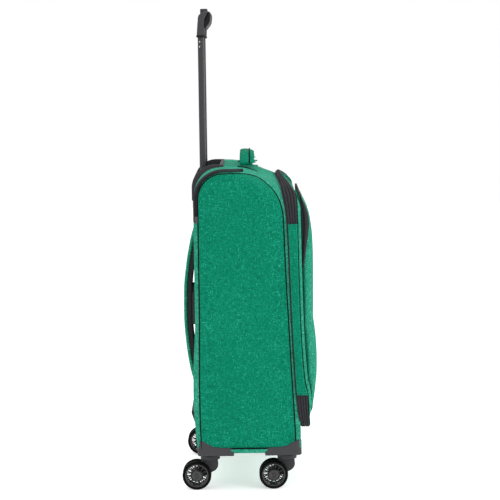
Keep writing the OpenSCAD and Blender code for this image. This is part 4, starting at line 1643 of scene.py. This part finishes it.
@dataclass
class CarryHandle:
    """A padded carry handle that arches off a face."""

    name: str
    node: str
    length: float
    rise: float
    width: float
    pad: float

    def spine(self, t: float) -> tuple[float, float]:
        """Returns the place along and off the face of the handle's middle line.

        Args:
            t: From 0 at one end to 1 at the other.
        """
        h = self.rise - self.pad / 2
        u = abs(2 * t - 1)
        fall = max(0.0, (u - 0.62) / 0.38)
        return (t - 0.5) * (self.length - 2 * self.pad), h * (1 - fall**1.7) + self.pad * 0.25 * fall

    def build(self, place: Callable[[float, float, float], Point]) -> None:
        """Builds the handle.

        Args:
            place: Turns a place along, across and off the face into a point.
        """
        count = 46
        rings = []
        for i in range(count + 1):
            t = (1 - math.cos(math.pi * i / count)) / 2
            along, off = self.spine(t)
            na, no = left_of(self.spine(max(0.0, t - 0.01)), self.spine(min(1.0, t + 0.01)))
            grip = math.sin(math.pi * t) ** 0.35 if 0 < t < 1 else 0.0
            hw = self.width / 2 - 1.2 - 2.6 * grip
            thick = self.pad * (0.30 + 0.17 * grip)
            ring = []
            for k in range(16):
                a = 2 * math.pi * k / 16
                c = hw * math.copysign(abs(math.cos(a)) ** 0.45, math.cos(a))
                s = thick * math.copysign(abs(math.sin(a)) ** 0.75, math.sin(a))
                s -= 2.4 * min(1.0, max(0.0, (c - self.width * 0.08) / 3.0)) * (s > 0)
                ring.append(place(along + na * s, c, off + no * s))
            rings.append(ring)
        verts, faces = loft(rings)
        piece = new_piece(self.name, verts, faces, SIDE_CLOTH)
        inflate(piece, 4.0, 4.0, 1.0)
        settle(piece, Body.CASE, "green_fabric", self.node)
        self._trim(place)

    def _trim(self, place: Callable[[float, float, float], Point]) -> None:
        """Adds the black seam piping along the handle's top, its end patches and its stitches.

        Args:
            place: Turns a place along, across and off the face into a point.
        """
        origin = Vector(place(0, 0, 0))
        up = (Vector(place(0, 0, 1)) - origin).normalized()
        path, outs = [], []
        for i in range(2, 47):
            t = (1 - math.cos(math.pi * i / 48)) / 2
            along, off = self.spine(t)
            na, no = left_of(self.spine(max(0.0, t - 0.004)), self.spine(min(1.0, t + 0.004)))
            path.append(place(along + na * self.pad * 0.45, self.width * 0.09, off + no * self.pad * 0.45))
            outs.append(tuple(Vector(place(na, 0, no)) - origin))
        v, f = sweep(path, outs, lambda s: circle(1.1, 8))
        settle(new_piece(f"{self.name}_piping", v, f, PIPING), Body.CASE, "black_piping")
        parts, lines = [], []
        for end in (-1, 1):
            middle = end * (self.length / 2 - 12)
            path = [place(middle + end * s, 0.0, 0.2) for s in (-18, -12, -6, 0, 4, 7)]
            parts.append(sweep(path, [tuple(up)] * 6, lambda s: tape(self.width - 2, 0.9, 0.2)))
            hw = self.width / 2 - 3.0
            box = [(-16, -hw), (-16, hw), (5, hw), (5, -hw)]
            loop = [place(middle + end * a, c, 1.2) for a, c in box]
            loop = resample(loop, 3.0, True)[:-1]
            lines.append((loop, [tuple(up)] * len(loop), True))
        patches = new_piece(f"{self.name}_patches", *join_parts(parts), SIDE_CLOTH)
        settle(patches, Body.CASE, "green_fabric")
        rows = Rows.of(Item.STITCH).run(
            f"{self.name}_stitches", lines, 2.8, (2.0, 0.6, 0.6), GREEN_THREAD, 0.15
        )
        settle(rows, Body.CASE, "green_fabric")


@dataclass
class BackStrap:
    """The wide strap on the back: a green outer layer over a black inner one, which is painted shade on the
    strap's underside, with a keeper between.
    """

    back: float = -84.0
    half_w: float = 30.0
    low: float = 137.0
    high: float = 436.0
    rise: Callable[[float], float] = field(init=False)

    def __post_init__(self) -> None:
        """Sets how far the strap's outer face stands off the back."""
        self.rise = hermite([
            (0, 0.6), (0.06, 6), (0.16, 14), (0.3, 20), (0.45, 23), (0.6, 22.5), (0.75, 18), (0.9, 9.5),
            (1, 0.6),
        ])

    def _layer(
        self, name: str, off: float, thick: float, half_w: float, finish: Finish, slot: str, *nodes: str
    ) -> None:
        """Builds one layer of the strap.

        Args:
            name: The layer's name.
            off: Distance of its outer face inside the strap's outer face.
            thick: Its thickness.
            half_w: Half its width.
            finish: Its finish.
            slot: Its material slot.
            nodes: CAD nodes that it stands for.
        """
        rings = []
        for i in range(41):
            t = i / 40
            z = self.low + (self.high - self.low) * t
            outer = max(self.rise(t) - off, 0.6)
            inner = max(outer - thick, 0.1)
            x0, x1 = self.back - outer, self.back - inner
            e = min(1.2, (x1 - x0) * 0.45)
            rings.append([
                (x0 + e, -half_w, z), (x0, -half_w + e, z), (x0 - 0.4, 0.0, z),
                (x0, half_w - e, z), (x0 + e, half_w, z),
                (x1 - e, half_w, z), (x1, half_w - e, z), (x1, -half_w + e, z), (x1 - e, -half_w, z),
            ])
        verts, faces = loft(rings)
        settle(new_piece(name, verts, faces, finish), Body.CASE, slot, *nodes)

    def _painted_shade_web(self, name: str, low: float, high: float) -> None:
        """Builds a black sheet, narrower in its middle, between the strap's inner layer and the back panel:
        painted shade in the gap under the strap's arch.

        Args:
            name: The web's name.
            low: Height of its lower end.
            high: Height of its upper end.
        """
        rings = []
        count = 14
        for i in range(count + 1):
            z = low + (high - low) * i / count
            out = max(self.rise((z - self.low) / (self.high - self.low)) - 5.0, 0.5)
            half = self.half_w - 5.0 - 1.6 * math.sin(math.pi * i / count)
            x0, x1 = self.back - out, self.back + 0.2
            rings.append([(x0, -half, z), (x0, half, z), (x1, half, z), (x1, -half, z)])
        verts, faces = loft(rings)
        piece = new_piece(name, verts, faces, TAPE)
        soften(piece, 0.8)
        settle(piece, Body.CASE, "zip_tape")

    def build(self) -> None:
        """Builds the strap and its stitches."""
        self._layer("back_strap_cloth", 0.0, 5.4, self.half_w, GUSSET_CLOTH_PAINTED_LIGHT, "green_fabric", "back_strap")
        # The black inner layer is painted shade: it stands for the shadowed underside of the green strap.
        self._layer("back_strap_painted_shade_layer", 5.5, 8.0, self.half_w - 2.0, TAPE, "zip_tape")
        # The black webs are painted shade: they fill the shadowed gap between the strap and the back.
        for name, low, high in (("lower", 137.0, 222.0), ("middle", 258.0, 325.0), ("upper", 352.0, 436.0)):
            self._painted_shade_web(f"back_strap_painted_shade_web_{name}", low, high)
        lines = []
        for y in (-self.half_w + 3.0, self.half_w - 3.0):
            path = [
                (self.back - 0.5 - max(self.rise(t), 0.6), y, self.low + (self.high - self.low) * t)
                for t in np.linspace(0.03, 0.97, 30)
            ]
            lines.append((path, [(-1.0, 0.0, 0.0)] * 30, False))
        rows = Rows.of(Item.STITCH).run(
            "back_strap_stitches", lines, 3.4, (2.4, 0.6, 0.6), GREEN_THREAD, 0.15
        )
        settle(rows, Body.CASE, "green_fabric")


# ---- hard parts -------------------------------------------------------------------------------


@dataclass
class Hardware:
    """The moulded and metal parts whose solids are already exact: each is copied, merged and dressed."""

    frame: dict

    def dress(
        self, node: str, finish: Finish, slot: str, edge: float = 0.4, angle: float = 30.0
    ) -> bpy.types.Object:
        """Copies a node's solid, softens its edges and gives it a finish.

        Args:
            node: The CAD node.
            finish: Its finish.
            slot: Its material slot.
            edge: Width of the softened edges.
            angle: Edges sharper than this many degrees are softened.

        Returns:
            The piece.
        """
        source = self.frame["nodes"][node]
        mesh = source.data.copy()
        mesh.name = f"{node}_part"
        work = bmesh.new()
        work.from_mesh(mesh)
        bmesh.ops.remove_doubles(work, verts=work.verts, dist=1e-6)
        bmesh.ops.dissolve_limit(work, angle_limit=math.radians(0.5), verts=work.verts, edges=work.edges)
        work.to_mesh(mesh)
        work.free()
        mesh.materials.clear()
        mesh.materials.append(finish.material())
        for name in ("sharp_edge", "sharp_face", "custom_normal"):
            found = mesh.attributes.get(name)
            if found is not None:
                mesh.attributes.remove(found)
        mesh.shade_smooth()
        mesh.set_sharp_from_angle(angle=math.radians(angle))
        piece = bpy.data.objects.new(f"{node}_part", mesh)
        bpy.context.scene.collection.objects.link(piece)
        if edge > 0:
            modifier = piece.modifiers.new("edges", "BEVEL")
            modifier.width = edge * MM
            modifier.segments = 2
            modifier.limit_method = "ANGLE"
            modifier.angle_limit = math.radians(angle)
            modifier.use_clamp_overlap = True
            modifier.harden_normals = True
        return settle(piece, source["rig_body"], slot, node)

    def build(self) -> None:
        """Dresses every hard part that isn't rebuilt."""
        self.dress("handle_bezel", BLACK_PLASTIC, "black_plastic", 1.0)
        self.dress("outer_tubes", RAW_TUBE, "raw_aluminium", 0.0)
        self.dress("middle_tubes", DARK_TUBE, "dark_anodised", 0.0)
        self.dress("inner_tubes", DARK_TUBE, "dark_anodised", 0.0)
        self.dress("push_rods", STEEL, "steel", 0.3)
        self.dress("tube_foot", BLACK_PLASTIC, "black_plastic", 0.8)
        self.dress("base_tray", BLACK_PLASTIC, "black_plastic", 0.5)
        self.dress("guard_rivets", STEEL, "steel", 0.4)
        self.dress("strap_keeper", BLACK_PLASTIC, "black_plastic", 2.0)
        self.dress("kick_plate", BLACK_PLASTIC, "black_plastic", 2.0)
        self.dress("release_button", BLACK_PLASTIC, "black_plastic", 1.2)
        for node in ("side_zip_slider", "main_zip_sliders", "pocket_slider"):
            self.dress(node, BLACK_ZINC, "zinc_black", 0.6)
        for node in ("main_puller_upper", "main_puller_lower", "pocket_puller"):
            self.dress(node, BLACK_ZINC, "zinc_black", 0.5)


@dataclass
class PullGrip:
    """The grip: two shells over a pair of arms, with a collar at each tube."""

    tube_y: float = 68.0
    low: float = 747.0
    arm_half: float = 15.0
    head_half: float = 84.0
    rear: tuple[tuple[float, float], ...] = (
        (-74.9, 763.8), (-64.9, 763.0), (-63.9, 770.5), (-57.2, 786.6), (-57.7, 788.4), (-59.0, 788.6),
        (-63.5, 787.2), (-69.5, 784.2), (-72.9, 781.2), (-74.2, 777.0),
    )
    front: tuple[tuple[float, float], ...] = (
        (-64.3, 762.4), (-61.2, 759.2), (-59.8, 761.8), (-56.2, 765.9), (-54.2, 770.0), (-53.3, 776.0),
        (-53.0, 781.0), (-53.8, 785.6), (-55.4, 787.4), (-56.5, 786.8), (-63.2, 770.4),
    )

    def _head(
        self, name: str, outline: Sequence[tuple[float, float]], finish: Finish, slot: str, *nodes: str
    ) -> None:
        """Lofts one shell of the head across the case.

        Args:
            name: The piece's name.
            outline: Its side view.
            finish: Its finish.
            slot: Its material slot.
            nodes: CAD nodes that it stands for.
        """
        cx = sum(p[0] for p in outline) / len(outline)
        cz = sum(p[1] for p in outline) / len(outline)
        ends = (
            (1.0, 0.35), (0.997, 0.2), (0.985, 0.08), (0.96, 0.02), (0.93, 0.0), (0.6, 0.0), (0.3, 0.0),
        )
        rings = [(share * self.head_half, shrink) for share, shrink in ends]
        full = [(-y, s) for y, s in rings] + [(0.0, 0.0)] + [(y, s) for y, s in reversed(rings)]
        lofted = []
        for y, shrink in full:
            ring = [(x + (cx - x) * shrink * 0.8, y, z + (cz - z) * shrink * 0.8) for x, z in outline]
            lofted.append(ring)
        verts, faces = loft(lofted)
        piece = new_piece(name, verts, faces, finish)
        soften(piece, 0.9, 3)
        settle(piece, Body.HANDLE_INNER, slot, *nodes)

    def _arm_ring(self, z: float, grow: float = 0.0) -> list[Point]:
        """Returns a rounded section of an arm about its own tube.

        Args:
            z: Its height.
            grow: How much larger it is.
        """
        t = (z - self.low) / 27.0
        x0, x1 = -76.5 + 2.0 * max(t, 0) - grow, -63.2 + 1.6 * max(t, 0) + grow
        hw, r = self.arm_half + grow + 2.5 * max(0.0, t - 0.6), 3.6
        ring = []
        for cx, cy, a0 in (
            (x1 - r, hw - r, 0), (x0 + r, hw - r, 90), (x0 + r, -hw + r, 180), (x1 - r, -hw + r, 270)
        ):
            for k in range(5):
                a = math.radians(a0 + 90 * k / 4)
                ring.append((cx + r * math.cos(a), cy + r * math.sin(a), z))
        return ring

    def build(self) -> None:
        """Builds the grip's shells, arms and collars."""
        self._head("grip_rear_part", self.rear, BLACK_PLASTIC, "black_plastic", "grip_rear_shell")
        self._head("grip_front_part", self.front, SOFT_GRIP, "soft_grip_plastic", "grip_front_shell")
        for name, levels, grow, finish in (
            ("grip_arms", [747.2, 748.2, 752, 757, 762, 767, 770, 772.5], 0.0, BLACK_PLASTIC),
            ("grip_collars", [744.6, 745.2, 747.4, 748.0], 0.7, SOFT_GRIP),
        ):
            parts = []
            for sign in (-1, 1):
                rings = []
                for i, z in enumerate(levels):
                    edge = -0.6 if i in (0, len(levels) - 1) else 0.0
                    section = self._arm_ring(z, grow + edge)
                    rings.append([(x, y + sign * self.tube_y, height) for x, y, height in section])
                parts.append(loft(rings))
            settle(new_piece(name, *join_parts(parts), finish), Body.HANDLE_INNER, "black_plastic")


@dataclass
class CornerGuards:
    """The moulded corner guards with their swivel housings."""

    proud: float = 1.6
    wall: float = 2.6
    rear_x: float = -81.8
    front_x: float = 84.0
    front_edge: float = 85.4
    reach_y: float = 62.0
    in_x: float = 20.5
    in_y: float = 45.0
    half_y: float = 190.0
    floor: float = 66.0
    corner_r: float = 7.0

    def _plan(self, off: float, reach_x: float, reach_y: float) -> list[tuple[float, float]]:
        """Returns the corner's plan as points from the side's end round to the other's.

        Args:
            off: Distance outside the fabric.
            reach_x: Reach along the side.
            reach_y: Reach along the back or the front.
        """
        r = self.corner_r
        pts = [(reach_x + (r - reach_x) * t, -off) for t in np.linspace(0, 1, 22)[:-1]]
        pts += [
            (r - (r + off) * math.sin(a), r - (r + off) * math.cos(a))
            for a in np.linspace(0, math.pi / 2, 9)
        ]
        pts += [(-off, r + (reach_y - r) * t) for t in np.linspace(0, 1, 22)[1:]]
        return [(float(x), float(y)) for x, y in pts]

    def build(self, name: str, ix: int, iy: int, reach_x: float) -> None:
        """Builds one guard's wall over its CAD housing.

        Args:
            name: The guard's corner.
            ix: -1 at the back, 1 at the front.
            iy: -1 on the near side, 1 on the far side.
            reach_x: Its reach along the side.
        """
        plan = self._plan(self.proud, reach_x, self.reach_y)
        inner = self._plan(self.proud - self.wall, reach_x, self.reach_y)
        top = hermite([
            (0, 90.0), (6, 88.6), (11, 86.0), (16, 82.8), (22, 79.4), (30, 77.2), (40, 76.6),
            (54, 76.0), (62, 74.6),
        ])
        edge_x = self.rear_x if ix < 0 else self.front_edge
        levels = (0.0, 0.06, 0.35, 0.7, 0.93, 1.0)
        rings = []
        for (x, y), (xi, yi) in zip(plan, inner):
            from_corner = max(x, y, 0.0)
            z1 = top(from_corner)
            z0 = self.floor - 3.2
            end = reach_x if y < x else self.reach_y
            z1 -= 3.0 * max(0.0, (from_corner - end + 5) / 5) ** 2
            ring = []
            for k, t in enumerate(levels):
                mix = 0.32 if k in (0, len(levels) - 1) else 0.0
                ring.append((x + (xi - x) * mix, y + (yi - y) * mix, z0 + (z1 - z0) * t))
            ring += [(xi, yi, z1 - 0.6), (xi, yi, z0 + 0.6)]
            rings.append([(edge_x - ix * px, iy * self.half_y - iy * py, pz) for px, py, pz in ring])
        verts, faces = loft(rings)
        settle(new_piece(f"guard_{name}_wall", verts, faces, BLACK_PLASTIC), Body.CASE, "black_plastic")
        self._housing(name, ix, iy)

    def _housing(self, name: str, ix: int, iy: int) -> None:
        """Builds the guard's foot plate and swivel housing.

        Args:
            name: The guard's corner.
            ix: -1 at the back, 1 at the front.
            iy: -1 on the near side, 1 on the far side.
        """
        cx, cy = ix * (self.front_x - self.in_x), iy * (self.half_y - self.in_y)
        profile = (
            (5.0, 57.2), (15.2, 56.6), (16.9, 57.2), (17.4, 58.4), (17.6, 61.5),
            (18.2, 62.6), (20.5, 63.2), (22.0, 64.4), (22.4, 65.6), (5.0, 65.8),
        )
        rings = []
        for radius, z in profile:
            ring = []
            for k in range(48):
                a = 2 * math.pi * k / 48
                ring.append((cx + radius * math.cos(a), cy + radius * math.sin(a), z))
            rings.append(ring)
        rings.append(rings[0])
        verts, faces = loft(rings, True, False)
        settle(new_piece(f"guard_{name}_housing", verts, faces, BLACK_PLASTIC), Body.CASE, "black_plastic")
        edge_x = self.rear_x if ix < 0 else self.front_edge
        x0, x1 = sorted((edge_x + ix * 0.6, ix * (self.front_x - 57.0)))
        y0, y1 = sorted((iy * (self.half_y + 0.6), iy * (self.half_y - self.reach_y)))
        rings = []
        for z, e in ((62.7, 0.8), (63.2, 0.0), (65.2, 0.0), (65.7, 0.5)):
            ring = []
            r = 7.5
            for ox, oy, a0 in (
                (x1 - r, y1 - r, 0), (x0 + r, y1 - r, 90), (x0 + r, y0 + r, 180), (x1 - r, y0 + r, 270)
            ):
                for k in range(6):
                    a = math.radians(a0 + 90 * k / 5)
                    ring.append((ox + (r - e) * math.cos(a), oy + (r - e) * math.sin(a), z))
            rings.append(ring)
        verts, faces = loft(rings)
        plate = new_piece(f"guard_{name}_plate", verts, faces, BLACK_PLASTIC)
        settle(plate, Body.CASE, "black_plastic", f"guard_{name}")


@dataclass
class Caster:
    """One caster: a fork that swivels and a pair of spoked wheels on one axle."""

    hardware: Hardware
    name: str
    ix: int
    iy: int
    wheel_r: float = 23.8
    wheel_w: float = 11.0
    disc_y: float = 9.5
    trail: float = 22.5
    spokes: int = 13
    spoke_ring: float = 13.6
    pivot_x: float = 63.5
    pivot_y: float = 145.0

    def _centre(self) -> tuple[float, float]:
        """Returns the axle's X and the caster's Y."""
        return self.ix * self.pivot_x - self.trail, self.iy * self.pivot_y

    def _turned(
        self,
        name: str,
        profile: Sequence[tuple[float, float]],
        finish: Finish,
        slot: str,
        count: int,
        *nodes: str
    ) -> None:
        """Turns a closed profile of radius and width about the axle, once for each wheel.

        Args:
            name: The piece's name.
            profile: Pairs of radius and distance along the axle from the wheel's middle, outwards.
            finish: Its finish.
            slot: Its material slot.
            count: Steps round.
            nodes: CAD nodes that it stands for.
        """
        ax, ay = self._centre()
        parts = []
        for sign in (-1, 1):
            rings = []
            for k in range(count):
                a = 2 * math.pi * k / count
                rings.append([
                    (ax + r * math.cos(a), ay + sign * (self.disc_y + w), self.wheel_r + r * math.sin(a))
                    for r, w in profile
                ])
            rings.append(rings[0])
            parts.append(loft(rings, True, False))
        settle(new_piece(name, *join_parts(parts), finish), f"wheels_{self.name}", slot, *nodes)

    def _spokes(self) -> None:
        """Lays the spokes between the hub and the rim ring with the row tree."""
        ax, ay = self._centre()
        lines = []
        radius, count = self.spoke_ring, 96
        for sign in (-1, 1):
            y = ay + sign * self.disc_y
            turns = [2 * math.pi * k / count for k in range(count)]
            ring = [(ax + radius * math.cos(a), y, self.wheel_r + radius * math.sin(a)) for a in turns]
            lines.append((ring, [(0.0, float(sign), 0.0)] * count, True))
        length = count * 2 * radius * math.sin(math.pi / count)
        pitch = length / self.spokes * 0.9995
        tree = Rows.of(Item.SPOKE)
        row = tree.run(f"wheel_spokes_{self.name}", lines, pitch, (1.7, 8.0, 3.6), GLOSS_PLASTIC)
        soften(row, 0.5, 1)
        settle(row, f"wheels_{self.name}", "wheel_plastic")

    def build(self) -> None:
        """Builds the caster."""
        h, r = self.wheel_w / 2, self.wheel_r
        self._turned(f"wheel_tyres_{self.name}", [
            (r - 4.2, -h + 0.8), (r - 2.2, -h + 0.1), (r - 1.2, -h + 0.5), (r - 0.35, -h + 1.7),
            (r, -h + 3.4), (r, h - 3.4), (r - 0.35, h - 1.7), (r - 1.2, h - 0.5),
            (r - 2.2, h - 0.1), (r - 4.2, h - 0.8),
        ], RUBBER, "tyre", 72, f"tyres_{self.name}")
        self._turned(f"wheel_rims_{self.name}", [
            (16.9, -h + 2.2), (17.3, -h + 1.4), (18.9, -h + 1.2), (19.6, -h + 1.6),
            (19.6, h - 1.6), (18.9, h - 0.7), (17.4, h - 0.9), (16.9, h - 2.0),
        ], GLOSS_PLASTIC, "wheel_plastic", 72, f"hubs_{self.name}")
        self._turned(f"wheel_hubs_{self.name}", [
            (3.0, -h + 0.4), (8.3, -h + 0.4), (9.2, -h + 1.6), (10.4, -h + 2.0), (10.6, -h + 2.6),
            (10.6, h - 2.6), (10.2, h - 1.9), (8.9, h - 1.4), (8.5, h - 0.2),
            (7.9, h + 0.3), (6.6, h - 0.1), (5.6, h - 0.3), (3.0, h - 0.35),
        ], GLOSS_PLASTIC, "wheel_plastic", 48)
        self._turned(f"axle_caps_{self.name}", [
            (0.02, h - 3.0), (3.0, h - 3.0), (3.0, h - 0.9), (2.5, h - 0.45), (0.02, h - 0.35),
        ], GLOSS_PLASTIC, "wheel_plastic", 24)
        self._spokes()
        self.hardware.dress(f"axle_{self.name}", STEEL, "steel", 0.2)
        self.hardware.dress(f"fork_{self.name}", BLACK_PLASTIC, "black_plastic", 1.0)


# ---- the studio -------------------------------------------------------------------------------


@dataclass
class Studio:
    """The camera, the pale floor and the soft lights."""

    focal: float = 138.83
    place: Point = (6.94, -3292.5, 705.1)
    pitch: float = 5.607
    roll: float = -0.802
    floor_half: float = 6000.0

    def camera(self) -> None:
        """Sets up the camera."""
        data = bpy.data.cameras.new("camera")
        data.lens, data.sensor_width = self.focal, 36.0
        data.clip_end = 50.0
        made = bpy.data.objects.new("camera", data)
        bpy.context.scene.collection.objects.link(made)
        level = Matrix.Rotation(math.radians(90 - self.pitch), 4, "X")
        turn = level @ Matrix.Rotation(math.radians(self.roll), 4, "Z")
        made.matrix_world = Matrix.Translation(Vector(self.place) * MM) @ turn
        bpy.context.scene.camera = made

    def floor(self) -> None:
        """Lays the floor."""
        s = self.floor_half
        corners = [(-s, -s, 0), (s, -s, 0), (s, s, 0), (-s, s, 0)]
        piece = new_piece("floor", corners, [(0, 1, 2, 3)], PAPER, outward=False)

    def light(self, name: str, place: Point, aim: Point, size: float, power: float) -> None:
        """Adds a soft area light.

        Args:
            name: Its name.
            place: Where it stands.
            aim: What it points at.
            size: Its side.
            power: Its power in watts.
        """
        data = bpy.data.lights.new(name, "AREA")
        data.size, data.energy = size * MM, power
        made = bpy.data.objects.new(name, data)
        bpy.context.scene.collection.objects.link(made)
        made.location = Vector(place) * MM
        made.rotation_euler = (Vector(aim) - Vector(place)).to_track_quat("-Z", "Y").to_euler()

    def build(self) -> None:
        """Builds the studio."""
        world = bpy.data.worlds.new("studio")
        world.use_nodes = True
        background = world.node_tree.nodes["Background"]
        background.inputs["Color"].default_value = (1.0, 1.0, 1.0, 1.0)
        background.inputs["Strength"].default_value = 1.0
        bpy.context.scene.world = world
        bpy.context.scene.view_settings.view_transform = "Standard"
        self.floor()
        self.light("key", (-1400, -2400, 2200), (0, 0, 350), 1600, 10)
        self.light("front_fill", (1900, -1500, 1500), (0, 0, 300), 1400, 24)
        self.light("top", (0, 200, 2800), (0, 0, 300), 1600, 30)


def main() -> None:
    """Builds the case on its frame."""
    logging.basicConfig(level=logging.INFO, format="%(message)s")
    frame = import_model()
    studio = Studio()
    studio.camera()
    studio.build()
    form = CaseForm()
    FabricCase(form).build()
    Lid(form).build()
    FrontPocket(form).build()
    top = CarryHandle("top_handle_pad", "top_handle", 196.0, 23.6, 36.0, 9.0)
    top.build(lambda a, c, off: (5.0 + c, a, 530.6 + off))
    side = CarryHandle("side_handle_pad", "side_handle", 186.0, 20.5, 32.0, 8.5)
    side.build(lambda a, c, off: (c, 190.6 + off, 307.3 - a))
    BackStrap().build()
    hardware = Hardware(frame)
    hardware.build()
    PullGrip().build()
    guards = CornerGuards()
    for name, ix, iy in CORNERS:
        guards.build(name, ix, iy, 58.0)
        Caster(hardware, name, ix, iy).build()


if __name__ == "__main__":
    main()
